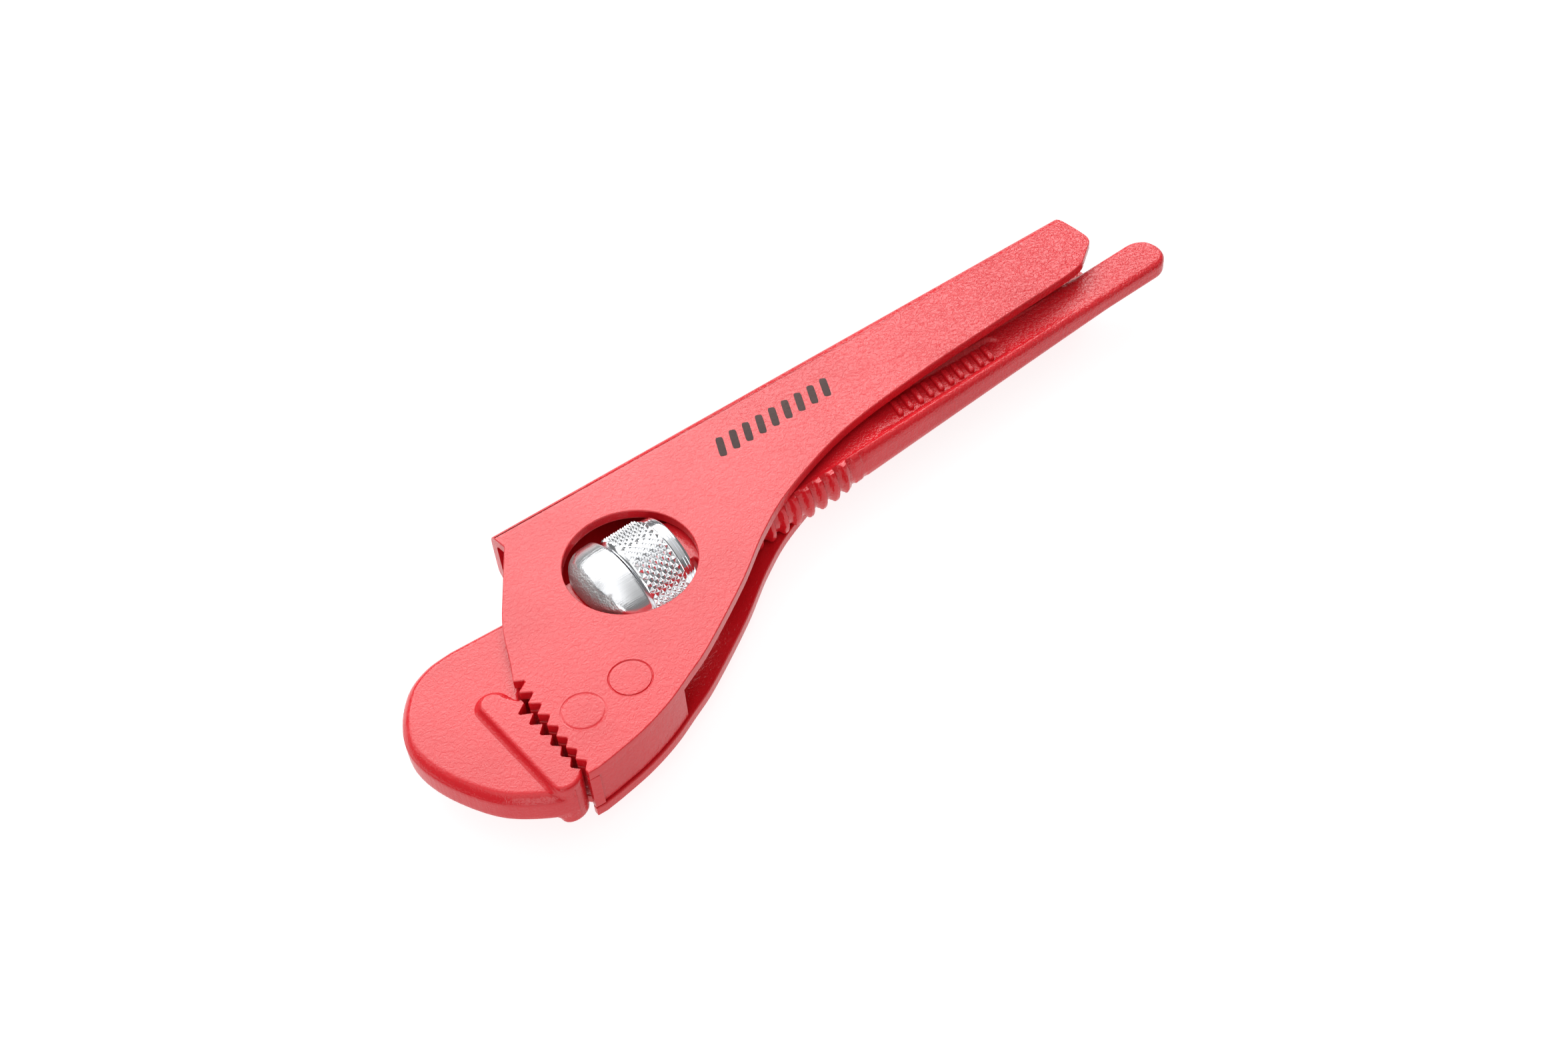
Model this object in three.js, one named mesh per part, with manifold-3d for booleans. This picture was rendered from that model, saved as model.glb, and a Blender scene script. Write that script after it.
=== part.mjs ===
// One-hand adjustable pipe wrench: a folded steel channel carries the lower jaw,
// and a forged hook handle with a threaded flat shank passes through it.
// Units are millimetres. The tool lies on its side, +Z up, +X towards the handle ends,
// +Y towards the folded spine. Everything is first laid out from the centre of the
// round window at mid thickness, and moved to its resting place at the very end.

import * as THREE from 'three';
import { mergeVertices } from 'three/addons/utils/BufferGeometryUtils.js';
import Module from 'manifold-3d';

const wasm = await Module();
wasm.setup();

// ---- Driving dimensions ----------------------------------------------------

// Folded channel
const SHEET = 2.0; // thickness of the folded sheet
const PLATE_GAP = 8.0; // clear space between the two plates
const FOLD_RADIUS = 2.8; // outside radius of the fold along the spine
const SPINE_Y = 22.0; // outer face of the spine
const SPINE_FRONT_X = -15.6; // where the spine is cut off behind the hook
const HANDLE_END_X = 118.8; // far end of the channel

// Lower jaw and its teeth
const JAW_LINE_X = -30.3; // crests of the lower teeth
const JAW_TIP_Y = -33.3;
const TOOTH_PITCH = 2.9;
const TOOTH_DEPTH = 1.0;
const TOOTH_EXTRA = 0.9; // how much deeper the gullet furthest from the tip is
const TOOTH_FLAT = 0.3; // flat left on each crest and in each gullet
const TIP_LAND = 2.3; // plain edge between the jaw's tip and the nearest gullet
const PLATE_GULLETS = 8;
const BLOCK_GULLETS = 6;
const HOOK_GULLETS = 6;
const BLOCK_BACK_X = -7.4; // rear end of the jaw block
const BLOCK_SIDE_GAP = 0.1; // joint between the block and each plate
const BLOCK_INSET = 0.5; // the block stands back from the plates' lower edge
const BLOCK_FRONT_INSET = 0.1; // but hardly at all at the jaw's tip
const BLOCK_FRONT_WIDTH = 1.9;
const RIVET_RADIUS = 3.65;
const RIVET_GAP = 0.12;
const RIVETS = [
  { name: 'rivet_front', x: -24.2, y: -22.3 },
  { name: 'rivet_rear', x: -14.3, y: -21.5 },
];

// Thread on the edges of the flat shank, and what runs on it
const THREAD_PITCH = 3.0;
const THREAD_RADIUS = 7.2; // crests
const THREAD_DEPTH = 1.1;
const THREAD_START_X = -4.0;
const THREAD_END_X = 44.5;
const CREST_HALF = 0.13; // half width of the flat crest, in turns of thread
const FLANK = 0.19; // width of one flank, in turns of thread
const THREAD_PHASE_X = 0.6; // a crest lies here on the +Y edge
const THREAD_CLEARANCE = 0.32; // radial play between nut and shank
const FLANK_CLEARANCE = 0.28; // play along the axis, each side of a crest
const SHANK_CLEARANCE = 0.3; // between the shank's flats and each plate
const HOOK_TILT = THREE.MathUtils.degToRad(2.15); // lean of the shank against the spine

// Nut and saddle in the window
const NUT_WALL = 2.4; // metal outside the thread crests
const NUT_PLAY = 2.4; // from the knurl to the window's edge
const NUT_FACE_X = -2.0;
const NUT_CHAMFER = 0.6;
const COLLAR_STEP = 0.8; // the collar is this much smaller in radius
const COLLAR_PLAY = 0.5; // from the collar's end to the window's edge
const KNURL_PLAY = 1.3; // from the knurl's end to the window's edge
const SADDLE_GAP = 0.3; // between saddle and nut
const SADDLE_PLAY = 0.8; // between its round front and the window's edge
const SADDLE_BLUNT = 3.0; // 2 is an ellipse, and more is boxier
const SADDLE_RIM = 0.7; // straight band behind the dome
const SADDLE_EDGE_PLAY = 1.0; // beside the saddle, to the window's edge
const SADDLE_PROUD = 3.0; // how far it stands out of the plates
const SADDLE_BORE_PLAY = 0.4;

// Hook
const JAW_CLOSED_GAP = 0.1; // between the two lines of crests when closed
const HOOK_FRONT_X = -50.4;
const HOOK_BACK_Y = 7.1;
const CHEEK_CLEARANCE = 0.6; // between each side of the hook and its plate
const CHEEK_BEVEL = 1.1;
const BAR_PROUD = 1.4; // the toothed bar stands out of the hook's sides
const BAR_WIDTH = 5.4;
const BAR_END_RADIUS = 2.35;
const BAR_BEVEL = 0.6;
const BAR_TOP_Y = -6.6; // rounded end of the bar, near the shank
const NECK_X = -20.0; // where the hook meets the plain part of the shank

// Front handle
const GRIP_BEYOND = 12.2; // how far it reaches past the channel
const GRIP_END_HALF = 4.45; // half width at the end pad
const GRIP_END_THICK = 2.0; // half thickness at the end pad
const GRIP_EDGE = 1.25; // width of the rounded edges
const PAD_LENGTH = 18.0; // flat end pad
const BAND_HALF = 1.7; // half height of the trimmed band along the edges
const BAND_END_HALF = 0.9;
const PANEL_FROM_X = 57.0;
const PANEL_TO_X = 89.0;
const PANEL_DEPTH = 1.0;
const PANEL_LIP = 2.0; // from the panel to the handle's edge
const SCOOP_DEPTH = 0.7;
const SCOOP_BEYOND = 22.0; // the shallow scoop runs this far past the panel

// ---- Sizes that follow from them -------------------------------------------

const TURN = 2 * Math.PI;
const gapHalf = PLATE_GAP / 2;
const faceZ = gapHalf + SHEET;
const shankHalf = gapHalf - SHANK_CLEARANCE;
const cheekHalf = gapHalf - CHEEK_CLEARANCE;
const threadRoot = THREAD_RADIUS - THREAD_DEPTH;
const nutRadius = THREAD_RADIUS + NUT_WALL;
const collarRadius = nutRadius - COLLAR_STEP;
const windowRadius = nutRadius + NUT_PLAY;
const saddleHalfY = windowRadius - SADDLE_EDGE_PLAY;
const saddleHalfZ = faceZ + SADDLE_PROUD;
const saddleRimX = NUT_FACE_X - SADDLE_GAP;
const saddleFrontRadius = windowRadius - SADDLE_PLAY;
const blockTopY = -windowRadius - 0.8;
const blockHalf = gapHalf - BLOCK_SIDE_GAP;
const gripEndX = HANDLE_END_X + GRIP_BEYOND;

// Furthest x at which a round body of this radius still clears the window by play
function reachInWindow(radius, play) {
  const halfWidthSquared = radius ** 2 - gapHalf ** 2;
  return Math.sqrt((windowRadius - play) ** 2 - halfWidthSquared);
}
const collarEndX = reachInWindow(collarRadius, COLLAR_PLAY);
const knurlEndX = reachInWindow(nutRadius, KNURL_PLAY);

// A point of the channel's layout, seen from the hook's own axes
function inHookAxes(x, y) {
  const cos = Math.cos(HOOK_TILT);
  const sin = Math.sin(HOOK_TILT);
  return [x * cos + y * sin, y * cos - x * sin];
}

// ---- Solids -----------------------------------------------------------------

// Closed geometry to a solid; triangles that closed up to nothing are dropped
function solid(geometry) {
  const bare = geometry.clone();
  bare.deleteAttribute('normal');
  bare.deleteAttribute('uv');
  const merged = mergeVertices(bare, 1e-5);
  const corners = merged.index.array;
  const kept = [];
  for (let i = 0; i < corners.length; i += 3) {
    const [a, b, c] = corners.slice(i, i + 3);
    if (a !== b && b !== c && c !== a) kept.push(a, b, c);
  }
  const mesh = new wasm.Mesh({
    numProp: 3,
    vertProperties: new Float32Array(merged.attributes.position.array),
    triVerts: new Uint32Array(kept),
  });
  return new wasm.Manifold(mesh);
}

function points(list) {
  return list.map(([x, y]) => new THREE.Vector2(x, y));
}

// A flat outline given thickness between two heights
function slab(shape, lowZ, highZ) {
  const settings = { depth: highZ - lowZ, bevelEnabled: false, curveSegments: 8 };
  const geometry = new THREE.ExtrudeGeometry(shape, settings);
  geometry.translate(0, 0, lowZ);
  return solid(geometry);
}

// The same about mid height with both rims rounded inwards
function roundedSlab(shape, half, bevel) {
  const geometry = new THREE.ExtrudeGeometry(shape, {
    depth: 2 * (half - bevel),
    bevelThickness: bevel,
    bevelSize: bevel,
    bevelOffset: -bevel,
    bevelSegments: 2,
    curveSegments: 5,
  });
  geometry.translate(0, 0, bevel - half);
  return solid(geometry);
}

function upright(radius, x, y, halfHeight, sides = 64) {
  const geometry = new THREE.CylinderGeometry(radius, radius, 2 * halfHeight, sides);
  geometry.rotateX(Math.PI / 2);
  geometry.translate(x, y, 0);
  return solid(geometry);
}

function block(lowX, highX, halfY, halfZ) {
  const geometry = new THREE.BoxGeometry(highX - lowX, 2 * halfY, 2 * halfZ);
  geometry.translate((lowX + highX) / 2, 0, 0);
  return solid(geometry);
}

// A profile of [x, radius] turned about the X axis, starting and ending on it
function turned(profile, sides = 56) {
  const geometry = new THREE.LatheGeometry(points(profile.map(([x, r]) => [r, x])), sides);
  geometry.rotateZ(-Math.PI / 2);
  return solid(geometry);
}

// Rings of [x, y, z] joined into a closed skin along +X, all with as many points
function skin(rings) {
  const count = rings[0].length;
  const last = (rings.length - 1) * count;
  const faces = [];
  for (let row = 0; row < last; row += count) {
    for (let j = 0; j < count; j += 1) {
      const a = row + j;
      const b = row + ((j + 1) % count);
      faces.push(a, b, b + count, a, b + count, a + count);
    }
  }
  for (let j = 1; j + 1 < count; j += 1) {
    faces.push(0, j + 1, j, last, last + j, last + j + 1);
  }
  const geometry = new THREE.BufferGeometry();
  geometry.setAttribute('position', new THREE.Float32BufferAttribute(rings.flat(2), 3));
  geometry.setIndex(faces);
  return solid(geometry);
}

// A threaded round bar along X. Each row of corners follows the helix for one turn and
// meets the row of the next turn; past the two ends all rows close up on the root.
function threadedBar(root, crest, crestHalf, fromX, toX) {
  const sides = 32;
  const lowX = fromX - 2 * THREAD_PITCH;
  const highX = toX + 2 * THREAD_PITCH;
  const corners = [
    [-crestHalf - FLANK, root],
    [-crestHalf, crest],
    [crestHalf, crest],
    [crestHalf + FLANK, root],
  ];
  const firstTurn = Math.floor((lowX - THREAD_PHASE_X) / THREAD_PITCH) - 2;
  const lastTurn = Math.ceil((highX - THREAD_PHASE_X) / THREAD_PITCH) + 1;
  const rings = [];
  for (let turn = firstTurn; turn <= lastTurn; turn += 1) {
    for (const [offset, radius] of corners) {
      const ring = [];
      for (let j = 0; j <= sides; j += 1) {
        const angle = (TURN * j) / sides;
        const helixX = THREAD_PHASE_X + THREAD_PITCH * (turn + offset + j / sides);
        const x = THREE.MathUtils.clamp(helixX, lowX, highX);
        const r = x === helixX ? radius : root;
        ring.push([x, r * Math.cos(angle), r * Math.sin(angle)]);
      }
      rings.push(ring);
    }
  }
  const width = sides + 1;
  const faces = [];
  for (let row = 0; row + 1 < rings.length; row += 1) {
    for (let j = 0; j < sides; j += 1) {
      const a = row * width + j;
      const d = a + width;
      faces.push(a, a + 1, d + 1, a, d + 1, d);
    }
  }
  const last = (rings.length - 1) * width;
  for (let j = 1; j + 1 < sides; j += 1) {
    faces.push(0, j + 1, j, last, last + j, last + j + 1);
  }
  const geometry = new THREE.BufferGeometry();
  geometry.setAttribute('position', new THREE.Float32BufferAttribute(rings.flat(2), 3));
  geometry.setIndex(faces);
  return solid(geometry).intersect(block(fromX, toX, 2 * crest, 2 * crest));
}

// Wedges that cut gullets into a toothed edge lying along Y. Each gullet is given as
// the [x, y] of its middle on the line of crests, from the inner end to the tip, and
// the cut goes towards +X or -X by direction.
function gulletCutters(centres, direction) {
  const half = (TOOTH_PITCH - TOOTH_FLAT) / 2;
  const flat = TOOTH_FLAT / 2;
  return centres.map(([lineX, y], i) => {
    const share = 1 - i / (centres.length - 1);
    const depth = TOOTH_DEPTH + TOOTH_EXTRA * share ** 2;
    const outside = lineX - direction * depth;
    const bottom = lineX + direction * depth;
    const wedge = new THREE.Shape(points([
      [bottom, y - flat],
      [bottom, y + flat],
      [outside, y + 2 * half - flat],
      [outside, y - 2 * half + flat],
    ]));
    return slab(wedge, -3 * faceZ, 3 * faceZ);
  });
}

function without(body, cutters) {
  return cutters.reduce((left, cutter) => left.subtract(cutter), body);
}

// ---- Where the teeth are ------------------------------------------------------

// Gullets of the lower jaw, from the inner end to the tip
const lastGulletY = JAW_TIP_Y + TIP_LAND;
const lowerGullets = [];
for (let i = PLATE_GULLETS - 1; i >= 0; i -= 1) {
  lowerGullets.push([JAW_LINE_X, lastGulletY + TOOTH_PITCH * i]);
}
// The hook's gullets face the lower crests, so the closed rows run into each other
const hookLineX = JAW_LINE_X - JAW_CLOSED_GAP;
const hookGullets = [];
for (let i = HOOK_GULLETS - 1; i >= 0; i -= 1) {
  hookGullets.push(inHookAxes(hookLineX, lastGulletY + TOOTH_PITCH * (i + 0.5)));
}

// ---- Folded channel -----------------------------------------------------------

// Plan outline, the same for both plates and the spine between them
function channelOutline(inset = 0) {
  const outline = new THREE.Shape();
  const innerGulletY = lowerGullets[0][1];
  outline.moveTo(SPINE_FRONT_X, SPINE_Y + 1);
  outline.lineTo(SPINE_FRONT_X, SPINE_Y - 2.0);
  outline.lineTo(SPINE_FRONT_X + 0.3, SPINE_Y - 4.7);
  outline.splineThru(points([
    [-20.0, 10.0],
    [-25.0, 2.0],
    [-28.3, -6.0],
    [JAW_LINE_X + 0.5, innerGulletY + TOOTH_PITCH / 2],
  ]));
  outline.lineTo(JAW_LINE_X, innerGulletY);
  outline.lineTo(JAW_LINE_X, JAW_TIP_Y + inset);
  outline.lineTo(JAW_LINE_X + 1.8, JAW_TIP_Y - 0.1 + inset);
  outline.splineThru(points([
    [-24.6, -32.9 + inset],
    [-18.5, -31.8 + inset],
    [-12.3, -29.9 + inset],
    [-6.5, -27.3 + inset],
    [0.0, -24.1 + inset],
    [12.3, -16.5 + inset],
    [22.1, -9.5 + inset],
    [31.9, -4.2 + inset],
    [48.5, 1.25 + inset],
    [68.4, 3.9 + inset],
    [HANDLE_END_X - 30, 5.3 + inset],
    [HANDLE_END_X - 9.5, 6.6 + inset],
    [HANDLE_END_X - 4.6, 8.4 + inset],
  ]));
  outline.lineTo(HANDLE_END_X - 0.9, 11.0);
  outline.quadraticCurveTo(HANDLE_END_X, 11.9, HANDLE_END_X, 13.4);
  outline.quadraticCurveTo(HANDLE_END_X, 17.0, HANDLE_END_X - 0.9, SPINE_Y + 1);
  outline.closePath();
  return outline;
}

// The folded section, open towards -Y, run along the whole tool
function foldedSection() {
  const innerRadius = Math.max(FOLD_RADIUS - SHEET, 0.3);
  const innerY = SPINE_Y - SHEET;
  const openY = JAW_TIP_Y - 20;
  const section = new THREE.Shape();
  section.moveTo(openY, -faceZ);
  section.lineTo(SPINE_Y - FOLD_RADIUS, -faceZ);
  section.quadraticCurveTo(SPINE_Y, -faceZ, SPINE_Y, FOLD_RADIUS - faceZ);
  section.lineTo(SPINE_Y, faceZ - FOLD_RADIUS);
  section.quadraticCurveTo(SPINE_Y, faceZ, SPINE_Y - FOLD_RADIUS, faceZ);
  section.lineTo(openY, faceZ);
  section.lineTo(openY, gapHalf);
  section.lineTo(innerY - innerRadius, gapHalf);
  section.quadraticCurveTo(innerY, gapHalf, innerY, gapHalf - innerRadius);
  section.lineTo(innerY, innerRadius - gapHalf);
  section.quadraticCurveTo(innerY, -gapHalf, innerY - innerRadius, -gapHalf);
  section.lineTo(openY, -gapHalf);
  section.closePath();
  const length = HANDLE_END_X - HOOK_FRONT_X;
  const settings = { depth: length, bevelEnabled: false, curveSegments: 5 };
  const geometry = new THREE.ExtrudeGeometry(section, settings);
  const alongX = new THREE.Matrix4().makeBasis(
    new THREE.Vector3(0, 1, 0),
    new THREE.Vector3(0, 0, 1),
    new THREE.Vector3(1, 0, 0),
  );
  geometry.applyMatrix4(alongX);
  geometry.translate(HOOK_FRONT_X, 0, 0);
  return solid(geometry);
}

function rivetHoles() {
  return RIVETS.map(({ x, y }) => upright(RIVET_RADIUS + RIVET_GAP, x, y, 2 * faceZ, 40));
}

function channelBody() {
  const plan = slab(channelOutline(), -2 * faceZ, 2 * faceZ);
  return without(plan.intersect(foldedSection()), [
    upright(windowRadius, 0, 0, 2 * faceZ, 80),
    ...rivetHoles(),
    ...gulletCutters(lowerGullets, 1),
  ]);
}

// ---- Lower jaw block and rivets -------------------------------------------------

function lowerJaw() {
  const firstTooth = lastGulletY + TOOTH_PITCH * (BLOCK_GULLETS - 0.5);
  const region = new THREE.Shape(points([
    [JAW_LINE_X - 1, JAW_TIP_Y - 5],
    [BLOCK_BACK_X - 1.2, JAW_TIP_Y - 5],
    [BLOCK_BACK_X, blockTopY - 8],
    [BLOCK_BACK_X - 2, blockTopY],
    [JAW_LINE_X + 6, blockTopY],
    [JAW_LINE_X - 1, firstTooth],
  ]));
  const tip = new THREE.Shape(points([
    [JAW_LINE_X - 1, JAW_TIP_Y - 5],
    [JAW_LINE_X + BLOCK_FRONT_WIDTH, JAW_TIP_Y - 5],
    [JAW_LINE_X + BLOCK_FRONT_WIDTH, JAW_TIP_Y + 4],
    [JAW_LINE_X - 1, JAW_TIP_Y + 4],
  ]));
  const strip = slab(channelOutline(BLOCK_FRONT_INSET), -blockHalf, blockHalf);
  const inner = slab(channelOutline(BLOCK_INSET), -blockHalf, blockHalf);
  const fitted = inner.add(strip.intersect(slab(tip, -faceZ, faceZ)));
  return without(fitted.intersect(slab(region, -faceZ, faceZ)), [
    ...rivetHoles(),
    ...gulletCutters(lowerGullets, 1),
  ]);
}

// ---- Saddle and nut ---------------------------------------------------------------

// Section of the shank with play all round
function shankPassage(fromX, toX) {
  const radius = THREAD_RADIUS + SADDLE_BORE_PLAY;
  const round = turned([[fromX, 0], [fromX, radius], [toX, radius], [toX, 0]]);
  return round.intersect(block(fromX, toX, 2 * radius, shankHalf + SADDLE_BORE_PLAY));
}

// A blunt dome whose round front follows the window's edge
function rockerSaddle() {
  const steps = 11;
  const domeBackX = saddleRimX - SADDLE_RIM;
  const depth = saddleFrontRadius + domeBackX;
  const profile = [];
  for (let i = 0; i <= steps; i += 1) {
    const angle = (Math.PI / 2) * (i / steps);
    const forward = Math.cos(angle) ** (2 / SADDLE_BLUNT);
    profile.push([domeBackX - depth * forward, Math.sin(angle) ** (2 / SADDLE_BLUNT)]);
  }
  profile.push([saddleRimX - 0.25, 1], [saddleRimX, 0.975], [saddleRimX, 0]);
  const dome = new THREE.LatheGeometry(points(profile.map(([x, r]) => [r, x])), 48);
  dome.rotateZ(-Math.PI / 2);
  dome.scale(1, saddleHalfY, saddleHalfZ);
  const round = upright(saddleFrontRadius, 0, 0, 2 * saddleHalfZ);
  return solid(dome).intersect(round).subtract(shankPassage(-windowRadius, saddleRimX + 1));
}

function adjustingNut() {
  const outside = turned([
    [NUT_FACE_X, 0],
    [NUT_FACE_X, nutRadius - NUT_CHAMFER],
    [NUT_FACE_X + NUT_CHAMFER, nutRadius],
    [knurlEndX, nutRadius],
    [knurlEndX + 0.4, collarRadius],
    [collarEndX - 0.5, collarRadius],
    [collarEndX, collarRadius - 0.5],
    [collarEndX, 0],
  ]);
  const threadSpace = threadedBar(
    threadRoot + THREAD_CLEARANCE,
    THREAD_RADIUS + THREAD_CLEARANCE,
    CREST_HALF + FLANK_CLEARANCE / THREAD_PITCH,
    NUT_FACE_X - 1,
    collarEndX + 1,
  );
  return outside.subtract(threadSpace);
}

// ---- Hook handle, in its own axes --------------------------------------------------

function cheekOutline() {
  const behindTeeth = hookGullets[0][0] - TOOTH_DEPTH - TOOTH_EXTRA - 0.4;
  const tipY = JAW_TIP_Y + 1.5;
  const outline = new THREE.Shape();
  outline.moveTo(NECK_X, -threadRoot + 0.2);
  outline.lineTo(NECK_X - 2.5, -threadRoot - 0.3);
  outline.splineThru(points([
    [NECK_X - 7.0, -9.0],
    [behindTeeth + 1.6, -11.6],
  ]));
  outline.lineTo(behindTeeth, -13.0);
  outline.lineTo(behindTeeth, tipY + 1.6);
  outline.lineTo(behindTeeth - 1.0, tipY);
  outline.splineThru(points([
    [HOOK_FRONT_X + 12.3, -30.4],
    [HOOK_FRONT_X + 6.2, -25.2],
    [HOOK_FRONT_X + 2.3, -18.4],
    [HOOK_FRONT_X + 0.2, -11.6],
    [HOOK_FRONT_X + 0.2, -5.7],
    [HOOK_FRONT_X + 2.6, -0.2],
    [HOOK_FRONT_X + 6.9, 4.6],
    [HOOK_FRONT_X + 11.6, 6.7],
    [HOOK_FRONT_X + 16.5, HOOK_BACK_Y],
  ]));
  outline.lineTo(NECK_X, threadRoot - 0.2);
  outline.closePath();
  return outline;
}

// The toothed bar: a straight rib with round ends, thicker than the hook
function barOutline() {
  const [lowX, lowY] = inHookAxes(hookLineX, lastGulletY);
  const [highX, highY] = inHookAxes(hookLineX, lastGulletY + TOOTH_PITCH * (HOOK_GULLETS + 0.2));
  const round = BAR_END_RADIUS;
  const left = lowX - BAR_WIDTH;
  const outline = new THREE.Shape();
  outline.moveTo(lowX, lowY);
  outline.lineTo(highX, highY);
  outline.lineTo(left - 0.4 + 2 * round, BAR_TOP_Y - round);
  outline.absarc(left - 0.4 + round, BAR_TOP_Y - round, round, 0, Math.PI);
  outline.lineTo(left, lowY);
  outline.bezierCurveTo(left, lowY - 2.3, lowX - 0.9, lowY - 2.6, lowX, lowY);
  return outline;
}

function toothedBar() {
  const bar = roundedSlab(barOutline(), cheekHalf + BAR_PROUD, BAR_BEVEL);
  return without(bar, gulletCutters(hookGullets, -1));
}

// Flat shank: a round bar with both sides cut flat, threaded where the nut runs
function shank() {
  const fromX = NECK_X - 4;
  const toX = THREAD_START_X + 0.5;
  const plain = turned([[fromX, 0], [fromX, threadRoot], [toX, threadRoot], [toX, 0]]);
  const threaded = threadedBar(threadRoot, THREAD_RADIUS, CREST_HALF, THREAD_START_X, THREAD_END_X);
  return plain.add(threaded).intersect(block(fromX, THREAD_END_X, 2 * THREAD_RADIUS, shankHalf));
}

// Half width, half thickness and half height of the trimmed band at x
function gripSize(x) {
  const length = gripEndX - THREAD_END_X;
  const share = THREE.MathUtils.clamp((x - THREAD_END_X) / (length - PAD_LENGTH), 0, 1);
  const lerp = THREE.MathUtils.lerp;
  const ease = 1 - (1 - share) ** 1.1;
  return {
    width: lerp(threadRoot, GRIP_END_HALF, ease),
    top: lerp(shankHalf, GRIP_END_THICK, share),
    band: lerp(BAND_HALF, BAND_END_HALF, share),
  };
}

function gripRing(x, width, top, band, edge) {
  const inner = Math.max(width - edge, 0.1 * width);
  const shoulderY = width - 0.3 * (width - inner);
  const shoulderZ = band + 0.7 * (top - band);
  const quarter = [[width, band], [shoulderY, shoulderZ], [inner, top]];
  const back = [...quarter].reverse();
  return [
    ...quarter.map(([y, z]) => [x, y, z]),
    ...back.map(([y, z]) => [x, -y, z]),
    ...quarter.map(([y, z]) => [x, -y, -z]),
    ...back.map(([y, z]) => [x, y, -z]),
  ];
}

function grip() {
  const rings = [];
  const roundFromX = gripEndX - GRIP_END_HALF;
  const stations = 11;
  for (let i = 0; i <= stations; i += 1) {
    const x = THREE.MathUtils.lerp(THREAD_END_X - 0.5, roundFromX, i / stations);
    const { width, top, band } = gripSize(x);
    rings.push(gripRing(x, width, top, band, GRIP_EDGE));
  }
  const steps = 9;
  for (let i = 1; i <= steps; i += 1) {
    const angle = (Math.PI / 2) * (i / (steps + 0.35));
    const width = GRIP_END_HALF * Math.cos(angle);
    const drop = Math.min(1, (1 - Math.sin(angle)) * 4) ** 0.5;
    const top = THREE.MathUtils.lerp(BAND_END_HALF + 0.25, GRIP_END_THICK, drop);
    const x = roundFromX + GRIP_END_HALF * Math.sin(angle);
    rings.push(gripRing(x, width, top, BAND_END_HALF, GRIP_EDGE));
  }
  return without(skin(rings), [panelCutter(1), panelCutter(-1), scoopCutter(1), scoopCutter(-1)]);
}

// Recessed panel in the broad face; side is 1 for the upper face and -1 for the lower
function panelCutter(side) {
  const middle = (PANEL_FROM_X + PANEL_TO_X) / 2;
  const { width, top } = gripSize(middle);
  const half = width - PANEL_LIP;
  const corner = 0.8 * half;
  const outline = new THREE.Shape();
  outline.absarc(PANEL_TO_X - corner, half - corner, corner, Math.PI / 2, 0, true);
  outline.absarc(PANEL_TO_X - corner, corner - half, corner, 0, -Math.PI / 2, true);
  outline.absarc(PANEL_FROM_X + corner, corner - half, corner, -Math.PI / 2, -Math.PI, true);
  outline.absarc(PANEL_FROM_X + corner, half - corner, corner, Math.PI, Math.PI / 2, true);
  const settings = { depth: 4, bevelEnabled: false, curveSegments: 8 };
  const geometry = new THREE.ExtrudeGeometry(outline, settings);
  const slope = (gripSize(PANEL_FROM_X).top - gripSize(PANEL_TO_X).top) / (PANEL_TO_X - PANEL_FROM_X);
  geometry.translate(-middle, 0, 0);
  geometry.rotateY(Math.atan(slope));
  geometry.translate(middle, 0, top - PANEL_DEPTH);
  if (side < 0) geometry.rotateX(Math.PI);
  return solid(geometry);
}

// Shallow scoop that runs out of the panel towards the end pad
function scoopCutter(side) {
  const { top, width } = gripSize(PANEL_TO_X);
  const ball = new THREE.SphereGeometry(1, 24, 12);
  ball.rotateX(Math.PI / 2);
  ball.scale(SCOOP_BEYOND, width - 1.2, SCOOP_DEPTH + 0.3);
  ball.translate(PANEL_TO_X - 1, 0, side * (top + 0.1));
  return solid(ball);
}

function hookHandle() {
  const cheek = roundedSlab(cheekOutline(), cheekHalf, CHEEK_BEVEL);
  return cheek.add(toothedBar()).add(shank()).add(grip());
}

// ---- Assembly ---------------------------------------------------------------------

function finish(color, roughness, metalness) {
  return () => new THREE.MeshStandardMaterial({ color, roughness, metalness });
}
const redPaint = finish(0xd8202c, 0.32, 0.0);
const brightChrome = finish(0xd9dbde, 0.16, 1.0);

function named(name, body, material) {
  const mesh = body.getMesh();
  const geometry = new THREE.BufferGeometry();
  geometry.setAttribute('position', new THREE.Float32BufferAttribute(mesh.vertProperties, 3));
  geometry.setIndex(new THREE.Uint32BufferAttribute(mesh.triVerts, 1));
  geometry.computeVertexNormals();
  const piece = new THREE.Mesh(geometry, material);
  piece.name = name;
  return piece;
}

const tool = new THREE.Group();
tool.add(named('channel_body', channelBody(), redPaint()));
tool.add(named('lower_jaw', lowerJaw(), redPaint()));
for (const { name, x, y } of RIVETS) {
  tool.add(named(name, upright(RIVET_RADIUS, x, y, faceZ, 40), redPaint()));
}

const hookGroup = new THREE.Group();
hookGroup.rotation.z = HOOK_TILT;
hookGroup.add(named('rocker_saddle', rockerSaddle(), brightChrome()));
hookGroup.add(named('adjusting_nut', adjustingNut(), brightChrome()));
hookGroup.add(named('hook_handle', hookHandle(), redPaint()));
tool.add(hookGroup);

// The origin goes to the middle of the underside
tool.updateMatrixWorld(true);
const box = new THREE.Box3().setFromObject(tool, true);
const middle = box.getCenter(new THREE.Vector3());
tool.position.set(-middle.x, -middle.y, -box.min.z);

export default tool;
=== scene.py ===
# %% [markdown]
# # One-hand adjustable pipe wrench
# The solid model of the wrench is already packed with its joints, so it is loaded
# first as a fixed frame. Every piece made below is placed by that frame, in metres,
# and rides on one of its four moving bodies: channel, saddle, nut and hook.

# %% Load the frame
import math

import bmesh
import bpy
import numpy as np
from mathutils import Matrix, Vector, noise


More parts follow.
